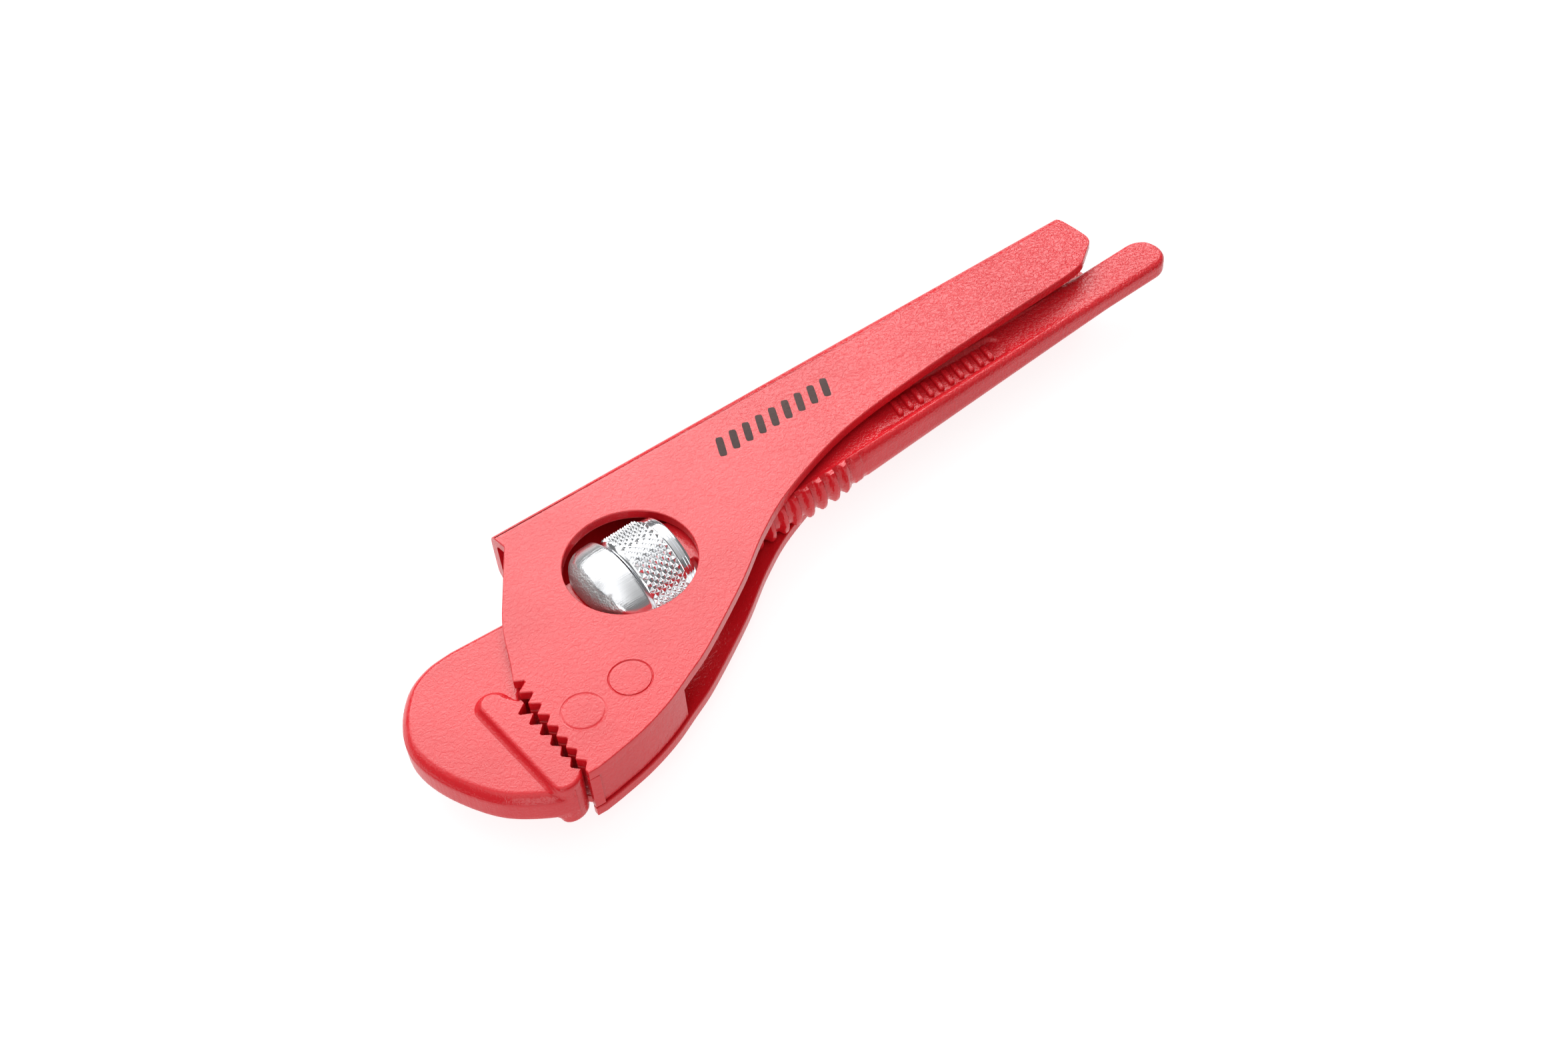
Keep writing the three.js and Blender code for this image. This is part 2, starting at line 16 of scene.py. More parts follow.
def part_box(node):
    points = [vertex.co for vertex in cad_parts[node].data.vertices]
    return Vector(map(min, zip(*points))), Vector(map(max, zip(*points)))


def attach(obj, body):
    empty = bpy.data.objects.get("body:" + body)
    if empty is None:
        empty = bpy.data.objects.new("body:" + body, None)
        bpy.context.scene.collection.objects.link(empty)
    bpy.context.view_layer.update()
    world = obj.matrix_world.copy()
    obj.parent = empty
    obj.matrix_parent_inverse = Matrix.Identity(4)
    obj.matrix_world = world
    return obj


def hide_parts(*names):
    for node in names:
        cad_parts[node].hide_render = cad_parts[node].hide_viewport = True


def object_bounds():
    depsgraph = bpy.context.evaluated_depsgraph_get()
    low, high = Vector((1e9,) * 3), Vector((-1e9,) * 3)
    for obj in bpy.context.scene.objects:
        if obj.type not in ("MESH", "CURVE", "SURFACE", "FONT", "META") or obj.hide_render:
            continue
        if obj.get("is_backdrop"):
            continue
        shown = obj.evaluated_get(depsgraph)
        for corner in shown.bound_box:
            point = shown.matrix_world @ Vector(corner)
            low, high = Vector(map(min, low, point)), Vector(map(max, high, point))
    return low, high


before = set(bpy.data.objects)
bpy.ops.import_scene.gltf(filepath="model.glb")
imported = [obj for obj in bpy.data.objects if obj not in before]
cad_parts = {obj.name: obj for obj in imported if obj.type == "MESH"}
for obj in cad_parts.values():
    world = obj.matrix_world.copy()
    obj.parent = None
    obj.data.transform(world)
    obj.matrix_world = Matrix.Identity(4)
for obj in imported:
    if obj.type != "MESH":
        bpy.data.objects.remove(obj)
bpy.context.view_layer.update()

# %% [markdown]
# The wrench was laid out in millimetres from the centre of its round window, with the
# handle ends towards +X and the folded spine towards +Y. The front rivet's place in
# that layout is known, so its box says where the layout sits in the frame. The hook
# leans a little against the channel, so it has axes of its own, turned about the
# window's centre.

# %% From the layout to the frame
MM = 0.001
RIVET_PLACES = {"rivet_front": (-24.2, -22.3), "rivet_rear": (-14.3, -21.5)}
HOOK_TILT = math.radians(2.15)
rivet_low, rivet_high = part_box("rivet_front")
rivet_middle = (rivet_low + rivet_high) / 2
rivet_x, rivet_y = RIVET_PLACES["rivet_front"]
WINDOW = Vector((rivet_middle.x - rivet_x * MM, rivet_middle.y - rivet_y * MM, rivet_middle.z))
TOOL = Matrix.Translation(WINDOW) @ Matrix.Scale(MM, 4)
HOOK = Matrix.Translation(WINDOW) @ Matrix.Rotation(HOOK_TILT, 4, "Z") @ Matrix.Scale(MM, 4)
print("window centre in millimetres:", [round(v / MM, 3) for v in WINDOW])

# %% [markdown]
# The camera stands in front of the head and looks down along the handles. It is about
# two tool lengths away, so the handles narrow a little towards their ends. Its place
# and the directions of its right and upper edges are given in the layout.

# %% Camera
CAMERA_PLACE = TOOL @ Vector((-102.672, -211.050, 265.082))
CAMERA_RIGHT = (0.79878158, -0.59788711, -0.06692524)
CAMERA_UP = (0.47799643, 0.56315327, 0.67407553)
camera = bpy.data.objects.new("camera", bpy.data.cameras.new("camera"))
camera.data.lens, camera.data.sensor_width = 45.918, 36
camera.data.clip_start = 0.01
right, up = Vector(CAMERA_RIGHT).normalized(), Vector(CAMERA_UP).normalized()
turn = Matrix((right, up, right.cross(up))).transposed().to_4x4()
camera.matrix_world = Matrix.Translation(CAMERA_PLACE) @ turn
bpy.context.scene.collection.objects.link(camera)
bpy.context.scene.camera = camera
print("camera is", round(camera.matrix_world.translation.length, 3), "m from the origin")

# %% [markdown]
# Sizes that the fine pieces share with the solid ones, in millimetres. They are named
# by what they are on the wrench: the sheet of the channel, the thread on the flat
# shank, the nut with its knurl, and the forged hook.

# %% Shared sizes
FACE_HALF = 6.0          # half thickness over the two plates
THREAD_PITCH = 3.0
THREAD_CREST = 7.2
THREAD_ROOT = 6.1
THREAD_PHASE = 0.6
THREAD_START, THREAD_END = -4.0, 44.5
CREST_HALF, FLANK = 0.13, 0.19   # shares of the pitch
SHANK_HALF = 3.7                 # half thickness over the shank's two flats
NUT_FACE, KNURL_END, COLLAR_END = -2.0, 6.19, 8.40
NUT_RADIUS, COLLAR_RADIUS = 9.6, 8.8
SADDLE_RIM_X, SADDLE_RIM, SADDLE_FRONT_RADIUS = -2.3, 0.7, 11.2
SADDLE_HALF_Y, SADDLE_HALF_Z = 11.0, 9.0
CHEEK_HALF, BAR_HALF = 3.4, 4.8
GRIP_END, GRIP_END_HALF = 131.0, 4.45
GROOVES = {"rivet_front": 0.08, "rivet_rear": 0.18}   # depth of the ring round each rivet
print("thread turns on the shank:", round((THREAD_END - THREAD_START) / THREAD_PITCH, 1))

# %% [markdown]
# ## Finishes
# Three effects are used by more than one finish, so each is a node group with named
# inputs: the skin of the paint, fine lines left by trimming and brushing, and the
# grain of a casting. A group gives only masks and heights, and the shader itself stays
# in each material. A small helper adds nodes by name so that the trees stay short.

# %% Node helpers
class Tree:
    """Adds nodes to a tree and links them by socket name."""

    def __init__(self, tree):
        self.tree = tree

    def add(self, kind, inputs=None, **settings):
        node = self.tree.nodes.new(kind)
        for key, value in settings.items():
            setattr(node, key, value)
        for key, value in (inputs or {}).items():
            self.feed(node.inputs[key], value)
        return node

    def feed(self, socket, value):
        if isinstance(value, bpy.types.NodeSocket):
            self.tree.links.new(value, socket)
        else:
            socket.default_value = value

    def math(self, operation, a, b=0.0, c=0.0):
        return self.add("ShaderNodeMath", {0: a, 1: b, 2: c}, operation=operation).outputs[0]

    def ramp(self, value, low, high, to_low=0.0, to_high=1.0):
        node = self.add("ShaderNodeMapRange", {"Value": value, "From Min": low, "From Max": high,
                                               "To Min": to_low, "To Max": to_high})
        node.interpolation_type = "SMOOTHSTEP"
        return node.outputs["Result"]

    def tint(self, share, first, second):
        """A colour that goes from the first to the second by share."""
        node = self.add("ShaderNodeMix", {"Factor": share}, data_type="RGBA")
        self.feed(node.inputs[6], first)
        self.feed(node.inputs[7], second)
        return node.outputs[2]

    def roughen(self, height, strength, distance):
        """Bumps the shader's surface by height, over a distance in metres."""
        node = self.add("ShaderNodeBump", {"Height": height, "Strength": strength, "Distance": distance})
        self.feed(self.shader.inputs["Normal"], node.outputs["Normal"])


def group(name, inputs, outputs):
    """A shader node group. Inputs are (name, kind, default); outputs are (name, kind)."""
    tree = bpy.data.node_groups.new(name, "ShaderNodeTree")
    for label, kind, default in inputs:
        socket = tree.interface.new_socket(label, in_out="INPUT", socket_type="NodeSocket" + kind)
        socket.default_value = default
    for label, kind in outputs:
        tree.interface.new_socket(label, in_out="OUTPUT", socket_type="NodeSocket" + kind)
    build = Tree(tree)
    build.source = build.add("NodeGroupInput").outputs
    build.sink = build.add("NodeGroupOutput").inputs
    return build


# %% Paint skin
# Sprayed paint dries with a leathery orange-peel: soft hollows about a millimetre
# across, a finer ripple on them, and a few pinholes.
skin = group("paint_skin",
             [("Place", "Vector", (0, 0, 0)), ("Size", "Float", 700.0), ("Depth", "Float", 0.5)],
             [("Height", "Float"), ("Pits", "Float"), ("Cloud", "Float")])
place, size, depth = (skin.source[k] for k in ("Place", "Size", "Depth"))
hollows = skin.add("ShaderNodeTexNoise", {"Vector": place, "Scale": size, "Detail": 2.0,
                                          "Roughness": 0.55, "Distortion": 0.9})
cells = skin.add("ShaderNodeTexVoronoi", {"Vector": place, "Scale": size, "Smoothness": 0.6},
                 feature="SMOOTH_F1")
pinholes = skin.add("ShaderNodeTexVoronoi", {"Vector": place, "Scale": 420.0}, feature="F1")
cloud = skin.add("ShaderNodeTexNoise", {"Vector": place, "Scale": 60.0, "Detail": 3.0})
plateaus = skin.ramp(hollows.outputs["Fac"], 0.36, 0.64)
body = skin.math("MULTIPLY_ADD", cells.outputs["Distance"], 0.12, plateaus)
pit = skin.ramp(pinholes.outputs["Distance"], 0.05, 0.16)
sparse = skin.ramp(cloud.outputs["Fac"], 0.52, 0.62)
pit = skin.math("MAXIMUM", pit, skin.math("SUBTRACT", 1.0, sparse))
leather = skin.math("MULTIPLY", body, depth)
skin.feed(skin.sink["Height"], skin.math("MULTIPLY_ADD", pit, 0.25, leather))
skin.feed(skin.sink["Pits"], pit)
skin.feed(skin.sink["Cloud"], cloud.outputs["Fac"])

# %% Fine lines
# Lines that run one way: shear marks down a trimmed edge, or brushing on plated steel.
lines = group("fine_lines",
              [("Place", "Vector", (0, 0, 0)), ("Across", "Vector", (1, 1, 0)), ("Size", "Float", 2200.0)],
              [("Height", "Float")])
stretched = lines.add("ShaderNodeVectorMath", {0: lines.source["Place"], 1: lines.source["Across"]},
                      operation="MULTIPLY")
coarse = lines.add("ShaderNodeTexNoise", {"Vector": stretched.outputs[0], "Scale": lines.source["Size"],
                                          "Detail": 3.0, "Roughness": 0.7})
lines.feed(lines.sink["Height"], coarse.outputs["Fac"])

# %% Cast grain
# The sandy skin of a casting that was plated without being ground first.
grain = group("cast_grain",
              [("Place", "Vector", (0, 0, 0)), ("Size", "Float", 3200.0)],
              [("Height", "Float")])
sand = grain.add("ShaderNodeTexNoise", {"Vector": grain.source["Place"], "Scale": grain.source["Size"],
                                        "Detail": 2.0, "Roughness": 0.6})
bumps = grain.add("ShaderNodeTexVoronoi", {"Vector": grain.source["Place"], "Scale": grain.source["Size"]},
                  feature="F1")
hollow = grain.math("MULTIPLY", bumps.outputs["Distance"], 0.6)
grain.feed(grain.sink["Height"], grain.math("SUBTRACT", sand.outputs["Fac"], hollow))
print("node groups:", [g.name for g in bpy.data.node_groups])


# %% [markdown]
# The red is a glossy paint over steel. On the channel it is nearly smooth at the head
# and leathery towards the handle's end. On the forging it is thicker, and the trimmed
# band along the edges keeps its shear marks. Both are one recipe with other values.

# %% Red paint
def new_material(name):
    material = bpy.data.materials.new(name)
    material.use_nodes = True
    build = Tree(material.node_tree)
    build.shader = next(n for n in material.node_tree.nodes if n.type == "BSDF_PRINCIPLED")
    build.object = build.add("ShaderNodeTexCoord").outputs["Object"]
    return material, build


def put(build, name, inputs):
    node = build.add("ShaderNodeGroup", node_tree=bpy.data.node_groups[name])
    for key, value in inputs.items():
        build.feed(node.inputs[key], value)
    return node.outputs


RED = (0.66, 0.012, 0.020, 1)
DEEP_RED = (0.50, 0.006, 0.012, 1)
WORN_RED = (0.72, 0.055, 0.060, 1)
PEEL_FROM, PEEL_TO = -0.030, 0.085   # metres along X, from the window towards the handle's end
PEEL_SIZE, PEEL_AT_HEAD, PEEL_DEPTH = 1450.0, 0.26, 0.0001


def red_paint(name, peel_at_end, trimmed):
    """Glossy red, whose peel grows along the handle. A trimmed rim keeps its shear marks."""
    material, build = new_material(name)
    shader = build.shader
    along = build.add("ShaderNodeSeparateXYZ", {0: build.object}).outputs["X"]
    peel = build.ramp(along, PEEL_FROM, PEEL_TO, PEEL_AT_HEAD, peel_at_end)
    paint = put(build, "paint_skin", {"Place": build.object, "Size": PEEL_SIZE, "Depth": peel})
    clouded = build.tint(build.ramp(paint["Cloud"], 0.35, 0.75, 0.0, 0.35), RED, DEEP_RED)
    rim = build.add("ShaderNodeAttribute", attribute_name="rim").outputs["Fac"]
    build.feed(shader.inputs["Base Color"], build.tint(build.math("MULTIPLY", rim, 0.45), clouded, WORN_RED))
    height = paint["Height"]
    rough = build.ramp(paint["Cloud"], 0.3, 0.7, 0.16, 0.24)
    if trimmed:
        band = build.add("ShaderNodeAttribute", attribute_name="trimmed").outputs["Fac"]
        marks = put(build, "fine_lines", {"Place": build.object, "Across": (1, 1, 0.02), "Size": 1500.0})
        height = build.math("MULTIPLY_ADD", build.math("MULTIPLY", band, marks["Height"]), 1.2, height)
        rough = build.math("MULTIPLY_ADD", band, 0.12, rough)
    build.feed(shader.inputs["Roughness"], rough)
    build.roughen(height, 0.8, PEEL_DEPTH)
    shader.inputs["IOR"].default_value = 1.5
    return material


sheet_paint = red_paint("red_paint_sheet", 0.95, trimmed=False)
forged_paint = red_paint("red_paint_forged", 0.80, trimmed=True)
print("paints:", sheet_paint.name, forged_paint.name)

# %% [markdown]
# The nut and the saddle are chrome plated. Chrome shows its surroundings, so what
# matters is how its surface breaks them up: nearly a mirror on the nut, brushed on the
# polished crown of the saddle, and sandy where the saddle was left as cast.

# %% Chrome
CHROME = (0.86, 0.87, 0.89, 1)
CAST_GREY = (0.50, 0.49, 0.49, 1)
CAST_BUMP, BRIGHT_BUMP = 0.00012, 0.00003   # metres


def chrome(name, cast):
    """Plated steel. Where it was left as cast, it is greyer, duller and sandy."""
    material, build = new_material(name)
    shader = build.shader
    shader.inputs["Metallic"].default_value = 1.0
    shader.inputs["Base Color"].default_value = CHROME
    brushed = put(build, "fine_lines", {"Place": build.object, "Across": (0.04, 1, 1), "Size": 1800.0})
    if cast:
        as_cast = build.add("ShaderNodeAttribute", attribute_name="as_cast").outputs["Fac"]
        sandy = put(build, "cast_grain", {"Place": build.object, "Size": 2600.0})
        heights = build.add("ShaderNodeMix", {"Factor": as_cast})
        build.feed(heights.inputs[2], build.math("MULTIPLY", brushed["Height"], 0.8))
        build.feed(heights.inputs[3], build.math("MULTIPLY", sandy["Height"], 1.6))
        height = heights.outputs[0]
        rough = build.ramp(as_cast, 0.0, 1.0, 0.24, 0.38)
        build.feed(shader.inputs["Metallic"], build.ramp(as_cast, 0.0, 1.0, 1.0, 0.8))
        build.feed(shader.inputs["Base Color"], build.tint(as_cast, CHROME, CAST_GREY))
    else:
        height = brushed["Height"]
        rough = build.ramp(brushed["Height"], 0.3, 0.7, 0.07, 0.15)
    build.feed(shader.inputs["Roughness"], rough)
    build.roughen(height, 0.5, CAST_BUMP if cast else BRIGHT_BUMP)
    return material


nut_chrome = chrome("chrome_bright", cast=False)
saddle_chrome = chrome("chrome_cast", cast=True)

# %% [markdown]
# The hatch on the channel is printed in a flat dark ink, which hardly shines and lets a
# little of the red through where it is thin.

# %% Ink
DARK_INK = (0.055, 0.030, 0.028, 1)
THIN_INK = (0.075, 0.042, 0.038, 1)
ink, build = new_material("print_ink")
paint = put(build, "paint_skin", {"Place": build.object, "Size": 900.0, "Depth": 0.5})
ink_tone = build.tint(build.ramp(paint["Cloud"], 0.4, 0.7), DARK_INK, THIN_INK)
build.shader.inputs["Specular IOR Level"].default_value = 0.12
build.feed(build.shader.inputs["Base Color"], ink_tone)
build.feed(build.shader.inputs["Roughness"], build.ramp(paint["Pits"], 0.0, 1.0, 0.55, 0.42))
build.roughen(paint["Height"], 0.4, 0.0001)
print("materials:", [m.name for m in bpy.data.materials])


# %% [markdown]
# ## Making meshes
# Most pieces come from rings of points joined into a skin, so one helper does that and
# closes both ends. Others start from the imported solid, whose loose triangles are
# merged before the edges are rounded.

# %% Mesh helpers
def piece(name, mesh, body, material, stands_for=()):
    """Links a finished mesh and says what it rides on and stands for."""
    obj = bpy.data.objects.new(name, mesh)
    bpy.context.scene.collection.objects.link(obj)
    mesh.materials.clear()
    mesh.materials.append(material)
    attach(obj, body)
    if stands_for:
        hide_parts(*stands_for)
    triangles = sum(len(p.vertices) - 2 for p in mesh.polygons)
    print(f"{name}: {len(mesh.vertices)} points, {triangles} triangles, on {body}")
    return obj


def from_lists(name, points, faces, matrix):
    mesh = bpy.data.meshes.new(name)
    mesh.from_pydata([matrix @ Vector(p) for p in points], [], faces)
    tidy_normals(mesh)
    return mesh


def tidy_normals(mesh, merge=0.0):
    build = bmesh.new()
    build.from_mesh(mesh)
    if merge:
        bmesh.ops.remove_doubles(build, verts=build.verts, dist=merge)
    bmesh.ops.recalc_face_normals(build, faces=build.faces)
    build.to_mesh(mesh)
    build.free()


def lofted(name, rings, matrix, capped=True):
    """Rings of as many points each, joined in order; ends closed, or joined to each other."""
    count = len(rings[0])
    points = [p for ring in rings for p in ring]
    rows = len(rings) - 1 if capped else len(rings)
    faces = []
    for row in range(rows):
        a, b = row * count, ((row + 1) % len(rings)) * count
        faces += [(a + j, a + (j + 1) % count, b + (j + 1) % count, b + j) for j in range(count)]
    if capped:
        faces.append(tuple(reversed(range(count))))
        faces.append(tuple((len(rings) - 1) * count + j for j in range(count)))
    return from_lists(name, points, faces, matrix)


def smooth(mesh, angle=32):
    """Smooth shading that keeps edges sharper than the angle."""
    mesh.shade_smooth()
    build = bmesh.new()
    build.from_mesh(mesh)
    limit = math.radians(angle)
    for edge in build.edges:
        edge.smooth = len(edge.link_faces) == 2 and edge.calc_face_angle(0.0) < limit
    build.to_mesh(mesh)
    build.free()


def settled(obj):
    """The object's mesh with its modifiers worked in. The object itself is removed."""
    bpy.context.view_layer.update()
    ready = obj.evaluated_get(bpy.context.evaluated_depsgraph_get())
    mesh = bpy.data.meshes.new_from_object(ready)
    mesh.name = obj.name
    obj.modifiers.clear()
    bpy.data.objects.remove(obj)
    return mesh


def loose(name, mesh):
    obj = bpy.data.objects.new(name, mesh)
    bpy.context.scene.collection.objects.link(obj)
    return obj


def joined(name, base, others, operation="UNION"):
    """Solids joined into one, or cut from the first."""
    obj = loose(name, base)
    helpers = [loose(name + "_with", mesh) for mesh in others]
    for helper in helpers:
        modifier = obj.modifiers.new("with", "BOOLEAN")
        modifier.operation, modifier.object, modifier.solver = operation, helper, "MANIFOLD"
    mesh = settled(obj)
    for helper in helpers:
        bpy.data.objects.remove(helper)
    return mesh


def flat_faces_kept(mesh):
    """Lets the big faces set the normals of the rims around them, so that they look flat."""
    obj = loose(mesh.name, mesh)
    weighted = obj.modifiers.new("weighted", "WEIGHTED_NORMAL")
    weighted.mode, weighted.weight, weighted.keep_sharp = "FACE_AREA", 60, True
    return settled(obj)


def mark(mesh, name, values):
    attribute = mesh.attributes.new(name, "FLOAT", "POINT")
    attribute.data.foreach_set("value", np.asarray(values, np.float32))


def places_and_normals(mesh, matrix):
    """Points and normals in the layout that the matrix comes from, in millimetres."""
    count = len(mesh.vertices)
    co, no = np.zeros(count * 3, np.float32), np.zeros(count * 3, np.float32)
    mesh.vertices.foreach_get("co", co)
    mesh.vertices.foreach_get("normal", no)
    back = np.array(matrix.inverted(), float)
    spin = np.array(matrix.inverted().to_3x3(), float) * MM
    return co.reshape(-1, 3) @ back[:3, :3].T + back[:3, 3], no.reshape(-1, 3) @ spin.T


def step(low, high, value):
    """0 below low, 1 above high, and a smooth rise between them."""
    t = np.clip((value - low) / (high - low), 0, 1)
    return t * t * (3 - 2 * t)


def evened_out(values, held, held_value, times):
    """Values along a closed outline, averaged with their neighbours, apart from the held ones."""
    values = np.where(held, held_value, values)
    for _ in range(times):
        values = np.where(held, held_value, (np.roll(values, 1) + values + np.roll(values, -1)) / 3)
    return values


# %% [markdown]
# ## Channel, jaw block and rivets
# The channel is one steel sheet folded along the spine, with its teeth cut in the
# plates' front edges. Its solid is already right, so a copy of it only has its sheared
# edges rounded by a bevel, as paint does. Teeth keep sharper edges than the rim.

# %% Rounded copies of the pressed pieces
EDGE_ANGLE, FLAT_ANGLE = math.radians(30), math.radians(0.6)
TOOTH_SHARE = 0.4      # how round a tooth's edges are, beside the rim's
SPINE_FROM = 17.0      # the fold starts here, and it has no sheared edge


def rounded_copy(node, name, width):
    """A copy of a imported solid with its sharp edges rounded."""
    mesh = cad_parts[node].data.copy()
    mesh.name = name
    build = bmesh.new()
    build.from_mesh(mesh)
    bmesh.ops.remove_doubles(build, verts=build.verts, dist=2e-6)
    bmesh.ops.dissolve_limit(build, angle_limit=FLAT_ANGLE, verts=build.verts, edges=build.edges)
    weight = build.edges.layers.float.new("bevel_weight_edge")
    for edge in build.edges:
        if len(edge.link_faces) == 2 and edge.calc_face_angle(0.0) > EDGE_ANGLE:
            way = (edge.verts[0].co - edge.verts[1].co).normalized()
            edge[weight] = TOOTH_SHARE if abs(way.z) > 0.9 else 1.0
    build.to_mesh(mesh)
    build.free()
    obj = loose(name, mesh)
    bevel = obj.modifiers.new("rounding", "BEVEL")
    bevel.width, bevel.segments, bevel.limit_method = width, 3, "WEIGHT"
    bevel.use_clamp_overlap = False
    return settled(obj)


def mark_rim(mesh):
    """Marks the rounded edges, which face neither up nor sideways, for the worn red."""
    places, normals = places_and_normals(mesh, TOOL)
    tilt = np.abs(normals[:, 2])
    rim = step(0.25, 0.45, tilt) * (1 - step(0.85, 0.97, tilt)) * (places[:, 1] < SPINE_FROM)
    mark(mesh, "rim", rim)


for node, name, width in (("channel_body", "channel_shell", 0.22), ("lower_jaw", "jaw_block", 0.25)):
    mesh = rounded_copy(node, name, width * MM)
    smooth(mesh)
    mark_rim(mesh)
    piece(name, flat_faces_kept(mesh), "channel", sheet_paint, [node])

# %% [markdown]
# The rivets were hammered flush and painted over, so all that shows is a shallow ring.
# Each is turned from a profile: a barely domed head, a fine groove around it, and a
# thin lip of paint that laps over the edge of the hole.

# %% Rivets
def turned_rings(profile, sides):
    """A profile of (along, radius) turned about Z, as rings."""
    rings = []
    for along, radius in profile:
        rings.append([(radius * math.cos(2 * math.pi * j / sides),
                       radius * math.sin(2 * math.pi * j / sides), along) for j in range(sides)])
    return rings


def rivet_profile(groove):
    """A rivet's outline from the middle of one head, out over its rim, to the other's middle."""
    face = FACE_HALF
    half = [(face + 0.02, 0.4), (face + 0.02, 2.6), (face + 0.015, 3.3), (face + 0.005, 3.52),
            (face - groove, 3.66), (face - groove, 3.72), (face + 0.005, 3.86), (face + 0.015, 4.0),
            (face - 0.03, 4.14)]
    return [(-z, r) for z, r in half] + [(z, r) for z, r in reversed(half)]


for node, (x, y) in RIVET_PLACES.items():
    rings = turned_rings(rivet_profile(GROOVES[node]), 72)
    rings = [[(px + x, py + y, pz) for px, py, pz in ring] for ring in rings]
    mesh = lofted(node + "_head", rings, TOOL)
    smooth(mesh, 50)
    piece(node + "_head", flat_faces_kept(mesh), "channel", sheet_paint, [node])

# %% [markdown]
# ## Forged hook handle
# The hook, the threaded shank and the front handle are one forging. It is made as
# three closed skins that are then joined: the flat cheek of the hook, the toothed bar
# standing out of it, and one long skin for shank and handle.

# %% Outlines
def curve_through(start, points, steps=10):
    """Points of a smooth curve from start through the given points."""
    knots = [start] + points
    result = []
    for i in range(len(knots) - 1):
        p = [np.array(knots[max(0, min(len(knots) - 1, i + k))], float) for k in (-1, 0, 1, 2)]
        for n in range(1, steps + 1):
            t = n / steps
            a, b = (p[2] - p[0]) / 2, (p[3] - p[1]) / 2
            q = ((2 * t ** 3 - 3 * t ** 2 + 1) * p[1] + (t ** 3 - 2 * t ** 2 + t) * a
                 + (3 * t ** 2 - 2 * t ** 3) * p[2] + (t ** 3 - t ** 2) * b)
            result.append(tuple(q))
    return result


def evened(outline, spacing):
    """The closed outline with no stretch longer than spacing."""
    result = []
    for a, b in zip(outline, outline[1:] + outline[:1]):
        count = max(1, math.ceil(math.dist(a, b) / spacing))
        result += [(a[0] + (b[0] - a[0]) * i / count, a[1] + (b[1] - a[1]) * i / count)
                   for i in range(count)]
    return result


def outward(outline):
    """Unit normals of a closed outline, pointing out of it."""
    pts = np.array(outline)
    ahead = np.roll(pts, -1, 0) - pts
    ahead /= np.linalg.norm(ahead, axis=1)[:, None]
    behind = np.roll(ahead, 1, 0)
    along = ahead + behind
    along /= np.linalg.norm(along, axis=1)[:, None]
    area = np.sum(pts[:, 0] * np.roll(pts[:, 1], -1) - np.roll(pts[:, 0], -1) * pts[:, 1])
    side = np.c_[along[:, 1], -along[:, 0]]
    return side if area > 0 else -side


def hook_axes(x, y):
    c, s = math.cos(HOOK_TILT), math.sin(HOOK_TILT)
    return (x * c + y * s, y * c - x * s)


LINE_X, LAST_GULLET_Y, TOOTH_PITCH = -30.4, -31.0, 2.9
GULLETS = [(hook_axes(LINE_X, LAST_GULLET_Y + TOOTH_PITCH * (i + 0.5)), 1 + 0.9 * (i / 5) ** 2)
           for i in range(6)]
NECK_X, HOOK_FRONT_X = -20.0, -50.4
behind_teeth = GULLETS[5][0][0] - 2.3
cheek = [(NECK_X, -5.9), (NECK_X - 2.5, -6.4)]
cheek += curve_through(cheek[-1], [(NECK_X - 7.0, -9.0), (behind_teeth + 1.6, -11.6)])
cheek += [(behind_teeth, -13.0), (behind_teeth, -30.2), (behind_teeth - 1.0, -31.8)]
cheek += curve_through(cheek[-1], [(HOOK_FRONT_X + dx, y) for dx, y in (
    (12.3, -30.4), (6.2, -25.2), (2.3, -18.4), (0.2, -11.6), (0.2, -5.7), (2.6, -0.2),
    (6.9, 4.6), (11.6, 6.7), (16.5, 7.1))])
cheek = evened(cheek + [(NECK_X, 5.9)], 0.28)
print("points around the hook:", len(cheek))

# %% [markdown]
# The hook was forged in two half dies and the flash was sheared off, so its rim is a
# flat upright band with a rounded shoulder on each side. Every ring of the skin is the
# same outline, drawn in a little more the closer it is to the broad face. Shallow shear
# marks are pressed into the band by noise that changes along the rim only.

# %% Cheek of the hook
SHOULDER = ((0.0, 0.0), (0.0, 1.2), (0.02, 1.9), (0.13, 2.1), (0.34, 2.42), (0.58, 2.72), (0.84, 2.98),
            (1.10, 3.18), (1.36, 3.32), (1.62, 3.385), (1.95, CHEEK_HALF))


def stacked(outline, profile, name, draw=None, ease=1.0):
    """Rings of one outline drawn in by the profile's (inset, height), below and above."""
    pts, out = np.array(outline), outward(outline)
    shear = np.array([noise.noise(Vector((x * 2.4, y * 2.4, 0.5))) for x, y in outline])
    rings = []
    for inset, z in [(i, -z) for i, z in reversed(profile[1:])] + list(profile):
        move = -inset * ease if draw is None else draw(z)
        in_band = 0.035 if abs(z) < 2.0 and draw is None else 0.0
        ring = pts + out * (np.asarray(move) + shear * in_band)[..., None]
        rings.append([(x, y, z) for x, y in ring])
    return lofted(name, rings, HOOK)


# The corners that end up inside the shank and the bar are not drawn in
cheek_pts = np.array(cheek)
in_shank = cheek_pts[:, 0] > NECK_X - 0.3
in_bar = (cheek_pts[:, 0] > behind_teeth - 1.2) & (cheek_pts[:, 1] < -11.4)
ease = evened_out(np.ones(len(cheek)), in_shank | in_bar, 0.0, 30)
cheek_mesh = stacked(cheek, SHOULDER, "cheek", ease=ease)

